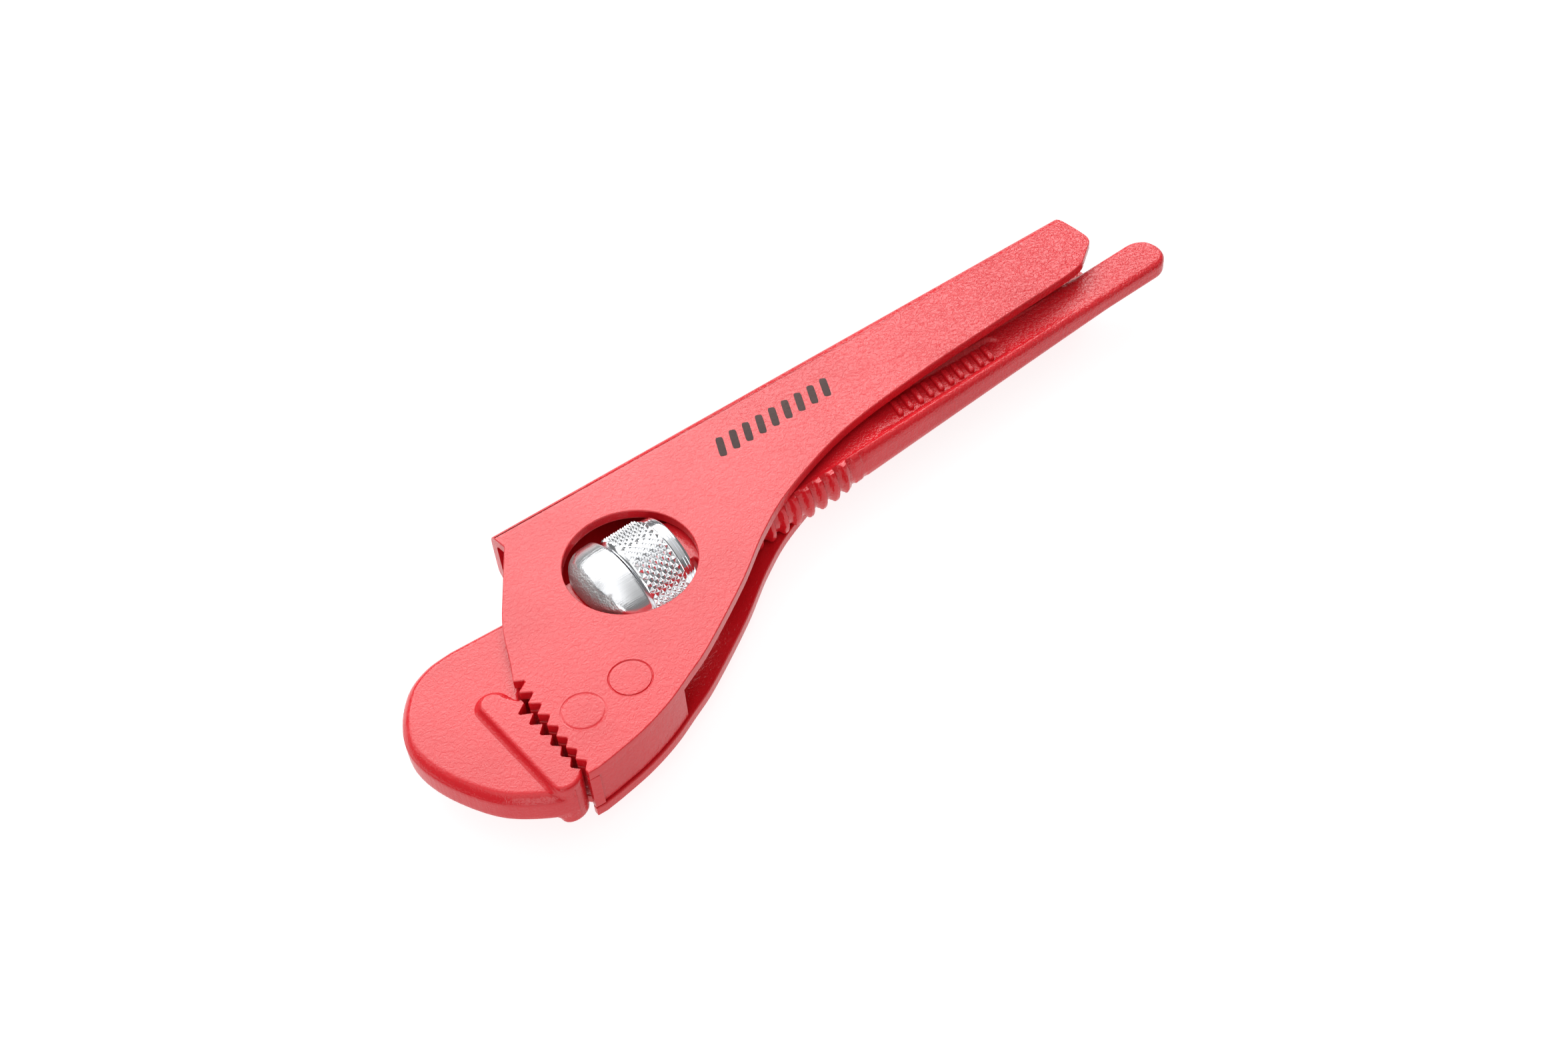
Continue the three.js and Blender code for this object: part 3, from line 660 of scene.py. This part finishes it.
# %% Toothed bar
low, high = hook_axes(LINE_X, LAST_GULLET_Y), hook_axes(LINE_X, LAST_GULLET_Y + TOOTH_PITCH * 6.2)
left, END_R, END_Y = low[0] - 5.4, 2.35, -8.95
bar = [low]
for (gx, gy), depth in GULLETS:
    bar += [(gx, gy - 1.3), (gx - depth, gy - 0.15), (gx - depth, gy + 0.15), (gx, gy + 1.3)]
bar.append(high)
bar += [(left - 0.4 + END_R + END_R * math.cos(a), END_Y + END_R * math.sin(a))
        for a in np.linspace(0, math.pi, 15)]
bar.append((left, low[1]))
for t in np.linspace(0, 1, 13)[1:-1]:
    p = [np.array(q) for q in ((left, low[1]), (left, low[1] - 2.3), (low[0] - 0.9, low[1] - 2.6), low)]
    bar.append(tuple((1 - t) ** 3 * p[0] + 3 * t * (1 - t) ** 2 * p[1]
                     + 3 * t * t * (1 - t) * p[2] + t ** 3 * p[3]))
bar = evened(bar, 0.35)
bar_pts = np.array(bar)


def depth_inside(pts, polygon):
    """How far each point lies inside a polygon, below 0 outside it."""
    near = np.min(np.linalg.norm(pts[:, None] - polygon[None], axis=2), axis=1)
    a, b = polygon, np.roll(polygon, -1, 0)
    x, y = pts[:, :1], pts[:, 1:]
    with np.errstate(divide="ignore", invalid="ignore"):
        crossing = ((a[:, 1] > y) != (b[:, 1] > y)) & (
            x < (b[:, 0] - a[:, 0]) * (y - a[:, 1]) / (b[:, 1] - a[:, 1]) + a[:, 0])
    return np.where(crossing.sum(1) % 2 == 1, near, -near)


on_teeth = (bar_pts[:, 0] > low[0] - 2.2) & (bar_pts[:, 1] < high[1] + 0.4) & (bar_pts[:, 1] > low[1] - 0.2)
flare = evened_out(step(0.4, 2.2, depth_inside(bar_pts, cheek_pts)), on_teeth, 0.0, 3)
crown = evened_out(np.ones(len(bar)), on_teeth, 0.22, 2)
FOOT_FROM, FOOT_RISE, FOOT_FLARE, RIM_ROUND = 3.3, 1.1, 1.1, 0.75


def bar_draw(z):
    """How far the bar's wall stands out at a height: a hollow foot, then a rounded rim."""
    z = abs(z)
    foot = FOOT_FLARE * (1 - min(1, max(0, (z - FOOT_FROM) / FOOT_RISE))) ** 2.2
    past = max(0, (z - (BAR_HALF - RIM_ROUND)) / RIM_ROUND)
    return flare * foot - crown * RIM_ROUND * (1 - math.sqrt(max(0, 1 - past ** 2)))


BAR_LEVELS = (0, 3.3, 3.42, 3.56, 3.72, 3.9, 4.05, 4.2, 4.35, 4.48, 4.6, 4.7, 4.76, BAR_HALF)
bar_mesh = stacked(bar, [(0, z) for z in BAR_LEVELS], "bar", bar_draw)
print("cheek and bar:", len(cheek_mesh.vertices), len(bar_mesh.vertices), "points")

# %% [markdown]
# Shank and handle are one skin of rings along X. Near the head the section is a round
# bar with two flats, cut by the thread. A point's distance from the axis is the least
# of the blank, the flat and the helix there, so crests and flats meet as they do on the
# real thread. Where the cutter runs out it only nicks the blank's shoulders. Beyond,
# the blank narrows to the end pad, with a panel and a scoop let into its broad faces.

# %% Thread
RUN_OUT_END = 57.0     # the cutter has left the blank's shoulders here


def from_crest(x, angle):
    """Distance from the middle of the helical crest, as a share of the pitch."""
    offset = (x - THREAD_PHASE) / THREAD_PITCH - angle / (2 * math.pi)
    return np.abs(offset - np.round(offset))


def helix_radius(x, angle):
    """Distance of the thread's surface from the axis, for arrays of angles."""
    crest = 1 - step(CREST_HALF - 0.03, CREST_HALF + FLANK + 0.03, from_crest(x, angle))
    start = float(step(THREAD_START - 0.2, THREAD_START + 1.2, x))
    run_out = 0.65 * float(step(THREAD_END + 2.5, RUN_OUT_END, x))
    return THREAD_ROOT + run_out + (THREAD_CREST - THREAD_ROOT) * crest * start


# %% Handle section
PAD_START = GRIP_END - GRIP_END_HALF
TAPER_END = GRIP_END - 18.0            # the blank narrows from the thread's end to here
PAD_HALF, PAD_TIP_HALF = 2.0, 1.15     # half thickness at the end pad and at its tip
BAND_AT_THREAD, BAND_AT_PAD = 1.7, 0.9   # half height of the trimmed band
BAND_SHARE = 0.34                      # the band's share of the points on a side
SIDE, FLAT = 27, 30                    # points on a side and across a broad face


def grip_size(x):
    """Half width, half thickness and half height of the trimmed band at x."""
    share = min(1, max(0, (x - THREAD_END) / (TAPER_END - THREAD_END)))
    width = THREAD_ROOT + (GRIP_END_HALF - THREAD_ROOT) * (1 - (1 - share) ** 1.1)
    top = SHANK_HALF + (PAD_HALF - SHANK_HALF) * share
    return width, top, BAND_AT_THREAD + (BAND_AT_PAD - BAND_AT_THREAD) * share


DISH_DEPTH, SCOOP_DEPTH, PANEL_DEPTH, PANEL_END = 0.75, 0.85, 1.15, 89.0


def recess(x, y):
    """Depth of the dish, the panel and the scoop under the broad face."""
    half = grip_size(x)[0] - 2.0
    across = np.clip(1 - np.abs(y / (half + 1.1)) ** 2.4, 0, 1)
    dish = DISH_DEPTH * across * float(step(28, 40, x) * (1 - step(96, 110, x)))
    scoop = SCOOP_DEPTH * across * float(step(80, 87, x) * (1 - step(91, 111, x)))
    corner = 0.8 * half
    dx, dy = max(x - PANEL_END + corner, 0.0), np.abs(y) - (half - corner)
    past_edge = np.hypot(dx, np.maximum(dy, 0)) + np.minimum(np.maximum(dx, dy), 0) - corner
    panel = PANEL_DEPTH * (1 - step(-0.9, 0.5, past_edge)) * float(step(49, 60, x))
    return np.maximum(np.maximum(panel, scoop), dish)


def blank_side(x, turn):
    """One side of the blank from its lower edge to its upper one: a flat band, rounded off."""
    width, top, band = grip_size(x)
    if x > PAD_START:
        past = (x - PAD_START) / GRIP_END_HALF
        width = max(0.25, GRIP_END_HALF * math.sqrt(max(0.0, 1 - past ** 2)))
        top = PAD_TIP_HALF + (top - PAD_TIP_HALF) * min(1, max(0.0, (1 - past) * 4)) ** 0.5
    edge = min(1.35, 0.8 * width)
    share = np.abs(turn)
    bend = np.clip((share - BAND_SHARE) / (1 - BAND_SHARE), 0, 1) * math.pi / 2
    z = np.where(share < BAND_SHARE, share / BAND_SHARE * band, band + (top - band) * np.sin(bend) ** 0.92)
    return np.c_[width - edge * (1 - np.cos(bend) ** 1.1), np.sign(turn) * z]


FLAT_ROUND = 0.22      # softens the corner between a crest and a flat


def cut_thread(x, y, z):
    """Points of the blank drawn in to the thread and to the shank's flats."""
    angle, radius = np.arctan2(z, y), np.hypot(y, z)
    flat = SHANK_HALF / np.maximum(np.abs(np.sin(angle)), 1e-3)
    meet = np.minimum(radius, helix_radius(x, angle))
    blend = np.clip(0.5 + (flat - meet) / (2 * FLAT_ROUND), 0, 1)
    meet = flat * (1 - blend) + meet * blend - FLAT_ROUND * blend * (1 - blend)
    return y / radius * meet, z / radius * meet


def broad_face(x, start, end, outwards):
    """Points across a broad face, between two corners, let in by the recess."""
    across = np.linspace(start[0], end[0], FLAT + 2)[1:-1]
    level = np.linspace(start[1], end[1], FLAT + 2)[1:-1]
    if 28 < x < PAD_START:
        level = level - outwards * recess(x, across)
    return np.c_[across, level]


def section(x):
    """One ring of the shank or handle at x, as an array of y and z."""
    turn = np.linspace(-1, 1, SIDE)
    bar_angle = turn * math.radians(37.0)
    round_side = np.c_[THREAD_CREST * np.cos(bar_angle), THREAD_CREST * np.sin(bar_angle)]
    mix = float(step(THREAD_END - 1.2, THREAD_END + 1.0, x))
    side = round_side * (1 - mix) + blank_side(x, turn) * mix
    if mix > 0.5 and x < PAD_START:
        shear = noise.noise(Vector((x * 2.6, 0.3, 7.7))) * 0.035
        side[:, 0] += shear * (np.abs(turn) < 0.3)
    halves = []
    for sign in (1, -1):
        y, z = side[:, 0] * sign, side[:, 1] * sign
        if x < RUN_OUT_END:
            y, z = cut_thread(x, y, z)
        halves.append(np.c_[y, z])
    right_side, left_side = halves
    return np.vstack([right_side, broad_face(x, right_side[-1], left_side[0], 1),
                      left_side, broad_face(x, left_side[-1], right_side[0], -1)])


# %% Shank and handle skin
STRETCHES = ((-24.0, -5.0, 1.0), (-5.0, 56.0, 0.2), (56.0, 92.0, 0.32), (92.0, PAD_START, 0.4))
stations = [x for begin, end, spacing in STRETCHES for x in np.arange(begin, end, spacing)]
stations += [GRIP_END - GRIP_END_HALF * (1 - math.sin(a)) for a in np.linspace(0, math.pi / 2, 16)[1:]]
rings = [[(x, y, z) for y, z in section(x)] for x in stations]
handle_mesh = lofted("handle", rings, HOOK)
print("handle rings:", len(rings), "points:", len(handle_mesh.vertices))

# %% [markdown]
# The three skins are joined with a boolean union, which also takes away what lies
# inside. The trimmed band is marked by where a point sits and which way it faces, so
# that the paint can show its shear marks only there.

# %% One forging
forging = joined("hook_forging", cheek_mesh, [bar_mesh, handle_mesh])
tidy_normals(forging, 1e-6)
smooth(forging, 38)
places, normals = places_and_normals(forging, HOOK)
x, z, tilt = places[:, 0], np.abs(places[:, 2]), np.abs(normals[:, 2])
CHEEK_BAND, BAND_NARROWS = 2.0, 67.5   # the band's half height on the hook, and where it stops narrowing
narrowing = np.clip((x - THREAD_END) / BAND_NARROWS, 0, 1)
band = np.where(x > THREAD_END, BAND_AT_THREAD - (BAND_AT_THREAD - BAND_AT_PAD) * narrowing, CHEEK_BAND)
trimmed = (1 - step(band - 0.1, band + 0.15, z)) * (1 - step(0.3, 0.5, tilt))
trimmed *= (x > THREAD_END + 1) | (x < NECK_X)
mark(forging, "trimmed", trimmed)
mark(forging, "rim", (1 - step(0.85, 0.96, tilt)) * step(0.6, 0.8, tilt) * 0.35)
piece("hook_forging", flat_faces_kept(forging), "hook", forged_paint, ["hook_handle"])

# %% [markdown]
# ## Repeats made with Geometry Nodes
# Raised ribs across the handle's panel, a printed hatch on the channel and the knurl of
# the nut all repeat one shape by a rule. A node tree with named inputs does that, and
# its result is turned into a plain mesh. The ribs and the hatch are plain generic marks.

# %% Geometry node helpers
def geometry_tree(name, inputs):
    tree = bpy.data.node_groups.new(name, "GeometryNodeTree")
    tree.interface.new_socket("Geometry", in_out="INPUT", socket_type="NodeSocketGeometry")
    tree.interface.new_socket("Geometry", in_out="OUTPUT", socket_type="NodeSocketGeometry")
    for label, kind, default in inputs:
        socket = tree.interface.new_socket(label, in_out="INPUT", socket_type="NodeSocket" + kind)
        if default is not None:
            socket.default_value = default
    build = Tree(tree)
    build.source = build.add("NodeGroupInput").outputs
    build.sink = build.add("NodeGroupOutput").inputs
    return build


def finish_tree(build, geometry):
    whole = build.add("GeometryNodeRealizeInstances", {0: geometry})
    painted = build.add("GeometryNodeSetMaterial", {"Geometry": whole.outputs[0],
                                                    "Material": build.source["Material"]})
    build.feed(build.sink["Geometry"], painted.outputs[0])


def grown(name, tree, values):
    """The mesh that a geometry node tree makes from these named values."""
    obj = loose(name, bpy.data.meshes.new(name))
    modifier = obj.modifiers.new("grow", "NODES")
    modifier.node_group = tree
    for item in tree.interface.items_tree:
        if item.in_out == "INPUT" and item.name in values:
            modifier[item.identifier] = values[item.name]
    return settled(obj)


# %% Row of rounded bars
row = geometry_tree("bar_row", [("Count", "Int", 5), ("Spacing", "Float", 0.003), ("Length", "Float", 0.004),
                                ("Width", "Float", 0.001), ("Height", "Float", 0.0002),
                                ("Slant", "Float", 0.3), ("Material", "Material", None)])
start = row.math("MULTIPLY", row.math("SUBTRACT", row.source["Count"], 1), -0.5)
first = row.math("MULTIPLY", start, row.source["Spacing"])
line = row.add("GeometryNodeMeshLine", {
    "Count": row.source["Count"],
    "Start Location": row.add("ShaderNodeCombineXYZ", {"X": first}).outputs[0],
    "Offset": row.add("ShaderNodeCombineXYZ", {"X": row.source["Spacing"]}).outputs[0]})
size = row.add("ShaderNodeCombineXYZ", {"X": row.source["Width"], "Y": row.source["Length"],
                                        "Z": row.source["Height"]})
bar_shape = row.add("GeometryNodeMeshUVSphere", {"Segments": 24, "Rings": 10, "Radius": 0.5})
ball = row.add("ShaderNodeSeparateXYZ", {0: row.add("GeometryNodeInputPosition").outputs[0]})
axes = []
for axis, power in (("X", 0.45), ("Y", 0.30), ("Z", 0.8)):
    value = row.math("MULTIPLY", ball.outputs[axis], 2.0)
    grown_out = row.math("POWER", row.math("ABSOLUTE", value), power)
    signed = row.math("MULTIPLY", row.math("SIGN", value), grown_out)
    axes.append(row.math("MULTIPLY", signed, 0.5))
boxy = row.add("ShaderNodeCombineXYZ", {0: axes[0], 1: axes[1], 2: axes[2]})
shaped = row.add("GeometryNodeSetPosition", {"Geometry": bar_shape.outputs[0], "Position": boxy.outputs[0]})
spin = row.add("ShaderNodeCombineXYZ", {"Z": row.source["Slant"]})
placed = row.add("GeometryNodeInstanceOnPoints", {"Points": line.outputs[0], "Instance": shaped.outputs[0],
                                                  "Rotation": spin.outputs[0], "Scale": size.outputs[0]})
finish_tree(row, placed.outputs[0])


def bar_row(name, middle, matrix, tilt, values):
    mesh = grown(name, row.tree, values)
    mesh.transform(Matrix.Translation(matrix @ Vector(middle)) @ matrix.to_3x3().normalized().to_4x4()
                   @ Matrix.Rotation(tilt, 4, "Y"))
    tidy_normals(mesh)
    mesh.shade_smooth()
    return mesh


# %% Ribs in the handle's panel
PANEL_START, PANEL_MIDDLE = 57.0, 73.0
rib_level = grip_size(PANEL_MIDDLE)[1] - 0.96   # a little above the panel's floor
slope = math.atan((grip_size(PANEL_START)[1] - grip_size(PANEL_END)[1]) / (PANEL_END - PANEL_START))
for name, side in (("panel_ribs_upper", 1), ("panel_ribs_lower", -1)):
    mesh = bar_row(name, (PANEL_MIDDLE, 0, side * rib_level), HOOK, side * slope, {
        "Count": 10, "Spacing": 2.55 * MM, "Length": 4.3 * MM, "Width": 1.25 * MM, "Height": 1.15 * MM,
        "Slant": math.radians(-14), "Material": forged_paint})
    piece(name, mesh, "hook", forged_paint)

# %% Printed hatch on the channel
hatch_mesh = bar_row("printed_hatch", (40.5, 12.4, FACE_HALF), TOOL, 0.0, {
    "Count": 9, "Spacing": 3.0 * MM, "Length": 5.0 * MM, "Width": 1.45 * MM, "Height": 0.07 * MM,
    "Slant": math.radians(-24), "Material": ink})
piece("printed_hatch", hatch_mesh, "channel", ink)

# %% [markdown]
# ## Adjusting nut
# The nut is turned, threaded and knurled. Its body is a skin of rings, with the thread
# cut in the bore by the same rule as on the shank. The knurl is a sleeve of pyramids: a
# grid wrapped round the nut, where every second point stands high. Splitting each cell
# along its shorter diagonal turns the valleys into two families of crossing grooves.

# %% Knurl tree
knurl = geometry_tree("knurl", [("Around", "Int", 48), ("Along", "Int", 6), ("Crest", "Float", 0.0096),
                                ("Depth", "Float", 0.0005), ("Inside", "Float", 0.0087),
                                ("From", "Float", 0.0), ("Reach", "Float", 0.007),
                                ("Material", "Material", None)])
calc = knurl.math
columns = calc("MULTIPLY", knurl.source["Around"], 2)
rows = calc("MULTIPLY", knurl.source["Along"], 2)
grid = knurl.add("GeometryNodeMeshGrid", {
    "Vertices X": calc("ADD", columns, 1), "Vertices Y": calc("ADD", rows, 4), "Size X": 1.0, "Size Y": 1.0})
at = knurl.add("ShaderNodeSeparateXYZ", {0: knurl.add("GeometryNodeInputPosition").outputs[0]})
i = calc("ROUND", calc("MULTIPLY", calc("ADD", at.outputs["X"], 0.5), columns))
j = calc("ROUND", calc("MULTIPLY", calc("ADD", at.outputs["Y"], 0.5), calc("ADD", rows, 3)))
k = calc("SUBTRACT", j, 1)
odd = calc("FLOORED_MODULO", calc("ADD", i, k), 2)
within = calc("MULTIPLY", calc("GREATER_THAN", k, 0.5), calc("LESS_THAN", k, calc("SUBTRACT", rows, 0.5)))
outer = calc("MULTIPLY", calc("GREATER_THAN", k, -0.5), calc("LESS_THAN", k, calc("ADD", rows, 0.5)))
drop = calc("MULTIPLY", knurl.source["Depth"], calc("SUBTRACT", 1, calc("MULTIPLY", odd, within)))
outside = calc("MULTIPLY", calc("SUBTRACT", knurl.source["Crest"], drop), outer)
inside = calc("MULTIPLY", knurl.source["Inside"], calc("SUBTRACT", 1, outer))
radius = calc("ADD", outside, inside)
share = calc("MULTIPLY", calc("MINIMUM", calc("MAXIMUM", k, 0), rows),
             calc("LESS_THAN", k, calc("ADD", rows, 1.5)))
along = calc("MULTIPLY_ADD", calc("DIVIDE", share, rows), knurl.source["Reach"], knurl.source["From"])
angle = calc("MULTIPLY", calc("DIVIDE", i, columns), 2 * math.pi)
wrapped = knurl.add("ShaderNodeCombineXYZ", {
    "X": along, "Y": calc("MULTIPLY", radius, calc("COSINE", angle)),
    "Z": calc("MULTIPLY", radius, calc("SINE", angle))})
sleeve = knurl.add("GeometryNodeSetPosition", {"Geometry": grid.outputs[0], "Position": wrapped.outputs[0]})
seamed = knurl.add("GeometryNodeMergeByDistance", {"Geometry": sleeve.outputs[0], "Distance": 1e-6})
split = knurl.add("GeometryNodeTriangulate", {"Mesh": seamed.outputs[0]}, quad_method="SHORTEST_DIAGONAL")
finish_tree(knurl, split.outputs[0])

# %% Knurl of the nut
knurl_mesh = grown("nut_knurl", knurl.tree, {
    "Around": 42, "Along": 5, "Crest": NUT_RADIUS * MM, "Depth": 0.58 * MM, "Inside": 8.6 * MM,
    "From": -1.25 * MM, "Reach": (KNURL_END + 1.2) * MM, "Material": nut_chrome})
knurl_mesh.transform(HOOK @ Matrix.Scale(1 / MM, 4))
tidy_normals(knurl_mesh)
peaks = loose("nut_knurl", knurl_mesh)
blunt = peaks.modifiers.new("blunt", "BEVEL")
blunt.width, blunt.segments, blunt.affect = 0.05 * MM, 1, "EDGES"
blunt.limit_method, blunt.angle_limit = "ANGLE", math.radians(30)
piece("nut_knurl", settled(peaks), "nut", nut_chrome)

# %% Body of the nut
FACE_IN, BODY_OUT, GROOVE_OUT = 7.9, 9.0, 8.6   # radii
nut_profile = [(NUT_FACE, FACE_IN), (NUT_FACE, 8.55), (NUT_FACE + 0.08, 8.72), (NUT_FACE + 0.62, 9.14),
               (NUT_FACE + 0.78, 9.2), (NUT_FACE + 0.9, BODY_OUT), (KNURL_END - 0.2, BODY_OUT),
               (KNURL_END - 0.05, 9.1), (KNURL_END + 0.25, COLLAR_RADIUS)]
for groove in (0.75, 1.3):
    nut_profile += [(KNURL_END + groove, COLLAR_RADIUS), (KNURL_END + groove + 0.07, GROOVE_OUT),
                    (KNURL_END + groove + 0.17, GROOVE_OUT), (KNURL_END + groove + 0.25, COLLAR_RADIUS)]
nut_profile += [(COLLAR_END - 0.35, COLLAR_RADIUS - 0.02), (COLLAR_END - 0.1, GROOVE_OUT),
                (COLLAR_END, 8.3), (COLLAR_END, FACE_IN)]
BORE_CREST, BORE_DEPTH, SIDES = 6.42, 1.1, 96
angles = np.arange(SIDES) * 2 * math.pi / SIDES
rings = [[(x, r * math.cos(a), r * math.sin(a)) for a in angles] for x, r in nut_profile]
for x in np.linspace(COLLAR_END, NUT_FACE, 53):
    groove_share = 1 - step(CREST_HALF + 0.06, CREST_HALF + FLANK + 0.1, from_crest(x, angles))
    bore = BORE_CREST + BORE_DEPTH * groove_share
    rings.append([(x, r * math.cos(a), r * math.sin(a)) for a, r in zip(angles, bore)])
nut_mesh = lofted("nut_body", rings, HOOK, capped=False)
smooth(nut_mesh, 35)
piece("nut_body", nut_mesh, "nut", nut_chrome, ["adjusting_nut"])

# %% [markdown]
# ## Rocker saddle
# The saddle is a cast dome between the nut and the round front of the window. Its crown
# was ground and plated bright, while the flank towards the hook and the lower ends kept
# the casting's sandy skin, with a ragged border between the two. It is lofted from rings,
# and a passage for the shank is then cut through it.

# %% Saddle
RINGS_OUT, AROUND, BLUNT = 44, 120, 2 / 3
dome_back = SADDLE_RIM_X - SADDLE_RIM
dome_depth = SADDLE_FRONT_RADIUS + dome_back
profile = []
for lean in np.linspace(0.0005, math.pi / 2, RINGS_OUT + 1):
    profile.append((dome_back - dome_depth * math.cos(lean) ** BLUNT, math.sin(lean) ** BLUNT))
profile += [(SADDLE_RIM_X - 0.45, 1.0), (SADDLE_RIM_X - 0.2, 0.995), (SADDLE_RIM_X - 0.06, 0.985),
            (SADDLE_RIM_X, 0.97), (SADDLE_RIM_X, 0.80)]
FRONT_EASE = 0.3


def held_back(x, y):
    """The dome's x, eased back where it would pass the round front of the window."""
    short = -math.sqrt(SADDLE_FRONT_RADIUS ** 2 - y ** 2) - x
    return x + (short + math.sqrt(short ** 2 + FRONT_EASE)) / 2 if short > -2 else x


rings = []
for x, r in profile:
    ring = [(r * SADDLE_HALF_Y * math.cos(a), r * SADDLE_HALF_Z * math.sin(a))
            for a in np.arange(AROUND) * 2 * math.pi / AROUND]
    rings.append([(held_back(x, y), y, z) for y, z in ring])


def cast_share(points):
    """How much of the casting's skin is left: 0 on the crown, 1 on the flank and ends."""
    x, y, z = points.T
    ragged = np.array([noise.fractal(Vector(p) * 0.32, 0.9, 2.0, 3) for p in points])
    to_front = (dome_back - x) / dome_depth
    low = 1 - np.abs(z) / SADDLE_HALF_Z
    return step(0.50, 0.58, to_front * 0.62 + low * 0.55 + 0.16 * ragged + 0.10 * step(5, 9, y))


rough_rings = []
for ring in rings:
    pts = np.array(ring)
    cast = cast_share(pts)
    lumps = np.array([noise.fractal(Vector(p) * 1.1, 0.8, 2.0, 4) for p in pts])
    out = pts * np.array([0.0, 1 / SADDLE_HALF_Y, 1 / SADDLE_HALF_Z])
    out[:, 0] = -0.6
    out /= np.linalg.norm(out, axis=1)[:, None]
    inward = -0.10 * cast + 0.07 * cast * np.clip(lumps, -1, 1)
    inward = np.where(pts[:, 0] > SADDLE_RIM_X - 0.1, 0, inward)
    rough_rings.append([tuple(p) for p in pts + out * inward[:, None]])
dome_mesh = lofted("saddle_dome", rough_rings, HOOK)
PASSAGE_R, PASSAGE_HALF = 7.6, 4.1
limit = math.asin(PASSAGE_HALF / PASSAGE_R)
slot = [(PASSAGE_R * math.cos(a), PASSAGE_R * math.sin(a)) for a in np.linspace(-limit, limit, 15)]
slot += [(-y, -z) for y, z in slot]
passage = lofted("passage", [[(x, y, z) for y, z in slot] for x in (-12.0, 0.0)], HOOK)
saddle_mesh = joined("rocker_saddle", dome_mesh, [passage], "DIFFERENCE")
tidy_normals(saddle_mesh, 1e-6)
smooth(saddle_mesh, 40)
places, normals = places_and_normals(saddle_mesh, HOOK)
mark(saddle_mesh, "as_cast", cast_share(places))
piece("rocker_saddle_cast", saddle_mesh, "saddle", saddle_chrome, ["rocker_saddle"])

# %% [markdown]
# ## Studio
# A pale floor glows a little by itself, so that it stays even and almost white. A large
# soft panel behind the tool and a fainter one over it give the broad faces an even sheen
# and the chrome something to mirror. The room in front is dim, which keeps the rounded
# edges a deep red, and a small fill softens the shade.

# %% Floor
SQUARE = [(-1, -1, 0), (1, -1, 0), (1, 1, 0), (-1, 1, 0)]
floor_mesh = from_lists("floor", SQUARE, [(0, 1, 2, 3)], Matrix.Scale(6, 4))
floor = loose("floor", floor_mesh)
floor_material, build = new_material("pale_floor")
build.shader.inputs["Base Color"].default_value = (0.25, 0.25, 0.25, 1)
build.shader.inputs["Roughness"].default_value = 0.9
build.shader.inputs["Specular IOR Level"].default_value = 0.0
build.shader.inputs["Emission Color"].default_value = (1, 1, 1, 1)
build.shader.inputs["Emission Strength"].default_value = 0.86
floor_mesh.materials.append(floor_material)
floor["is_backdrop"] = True

# %% Lights
def facing_tool(obj, place):
    """Puts a light or panel at a place, in metres, and turns it to the origin."""
    turned = (-Vector(place)).to_track_quat("-Z", "Y").to_matrix().to_4x4()
    obj.matrix_world = Matrix.Translation(place) @ turned


def softbox(name, place, size_x, size_y, low_glow, high_glow):
    """A glowing panel that fades from its lower edge to its upper one, and towards both ends."""
    mesh = from_lists(name, SQUARE, [(0, 1, 2, 3)], Matrix.Diagonal((size_x / 2, size_y / 2, 1, 1)))
    obj = loose(name, mesh)
    facing_tool(obj, place)
    material, build = new_material(name)
    across = build.add("ShaderNodeSeparateXYZ", {0: build.object}).outputs
    glow = build.ramp(across["Y"], -0.71, 0.74, low_glow, high_glow)
    for start, end, at_start, at_end in ((-0.3, 0.9, 1.0, 0.32), (-0.95, -0.2, 0.88, 1.0)):
        glow = build.math("MULTIPLY", glow, build.ramp(across["X"], start, end, at_start, at_end))
    build.shader.inputs["Base Color"].default_value = (0, 0, 0, 1)
    build.shader.inputs["Emission Color"].default_value = (1, 1, 1, 1)
    build.feed(build.shader.inputs["Emission Strength"], glow)
    mesh.materials.append(material)
    obj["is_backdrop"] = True


softbox("behind", (0.05, 0.74, 1.08), 3.2, 1.25, low_glow=7.1, high_glow=1.0)
softbox("ceiling", (-0.10, -0.32, 1.35), 2.8, 1.55, low_glow=1.3, high_glow=1.3)
fill = bpy.data.lights.new("fill", "AREA")
fill.size, fill.energy = 0.6, 3.2
facing_tool(loose("fill", fill), (-0.9, -0.9, 0.5))

# %% Room
world = bpy.data.worlds.new("room")
world.use_nodes = True
background = world.node_tree.nodes["Background"].inputs
background["Color"].default_value = (1, 1, 1, 1)
background["Strength"].default_value = 0.18
bpy.context.scene.world = world
bpy.context.scene.view_settings.view_transform = "Standard"

# %% Size of the visual model
low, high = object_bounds()
print("visual model ", [round((b - a) / MM, 2) for a, b in zip(low, high)])
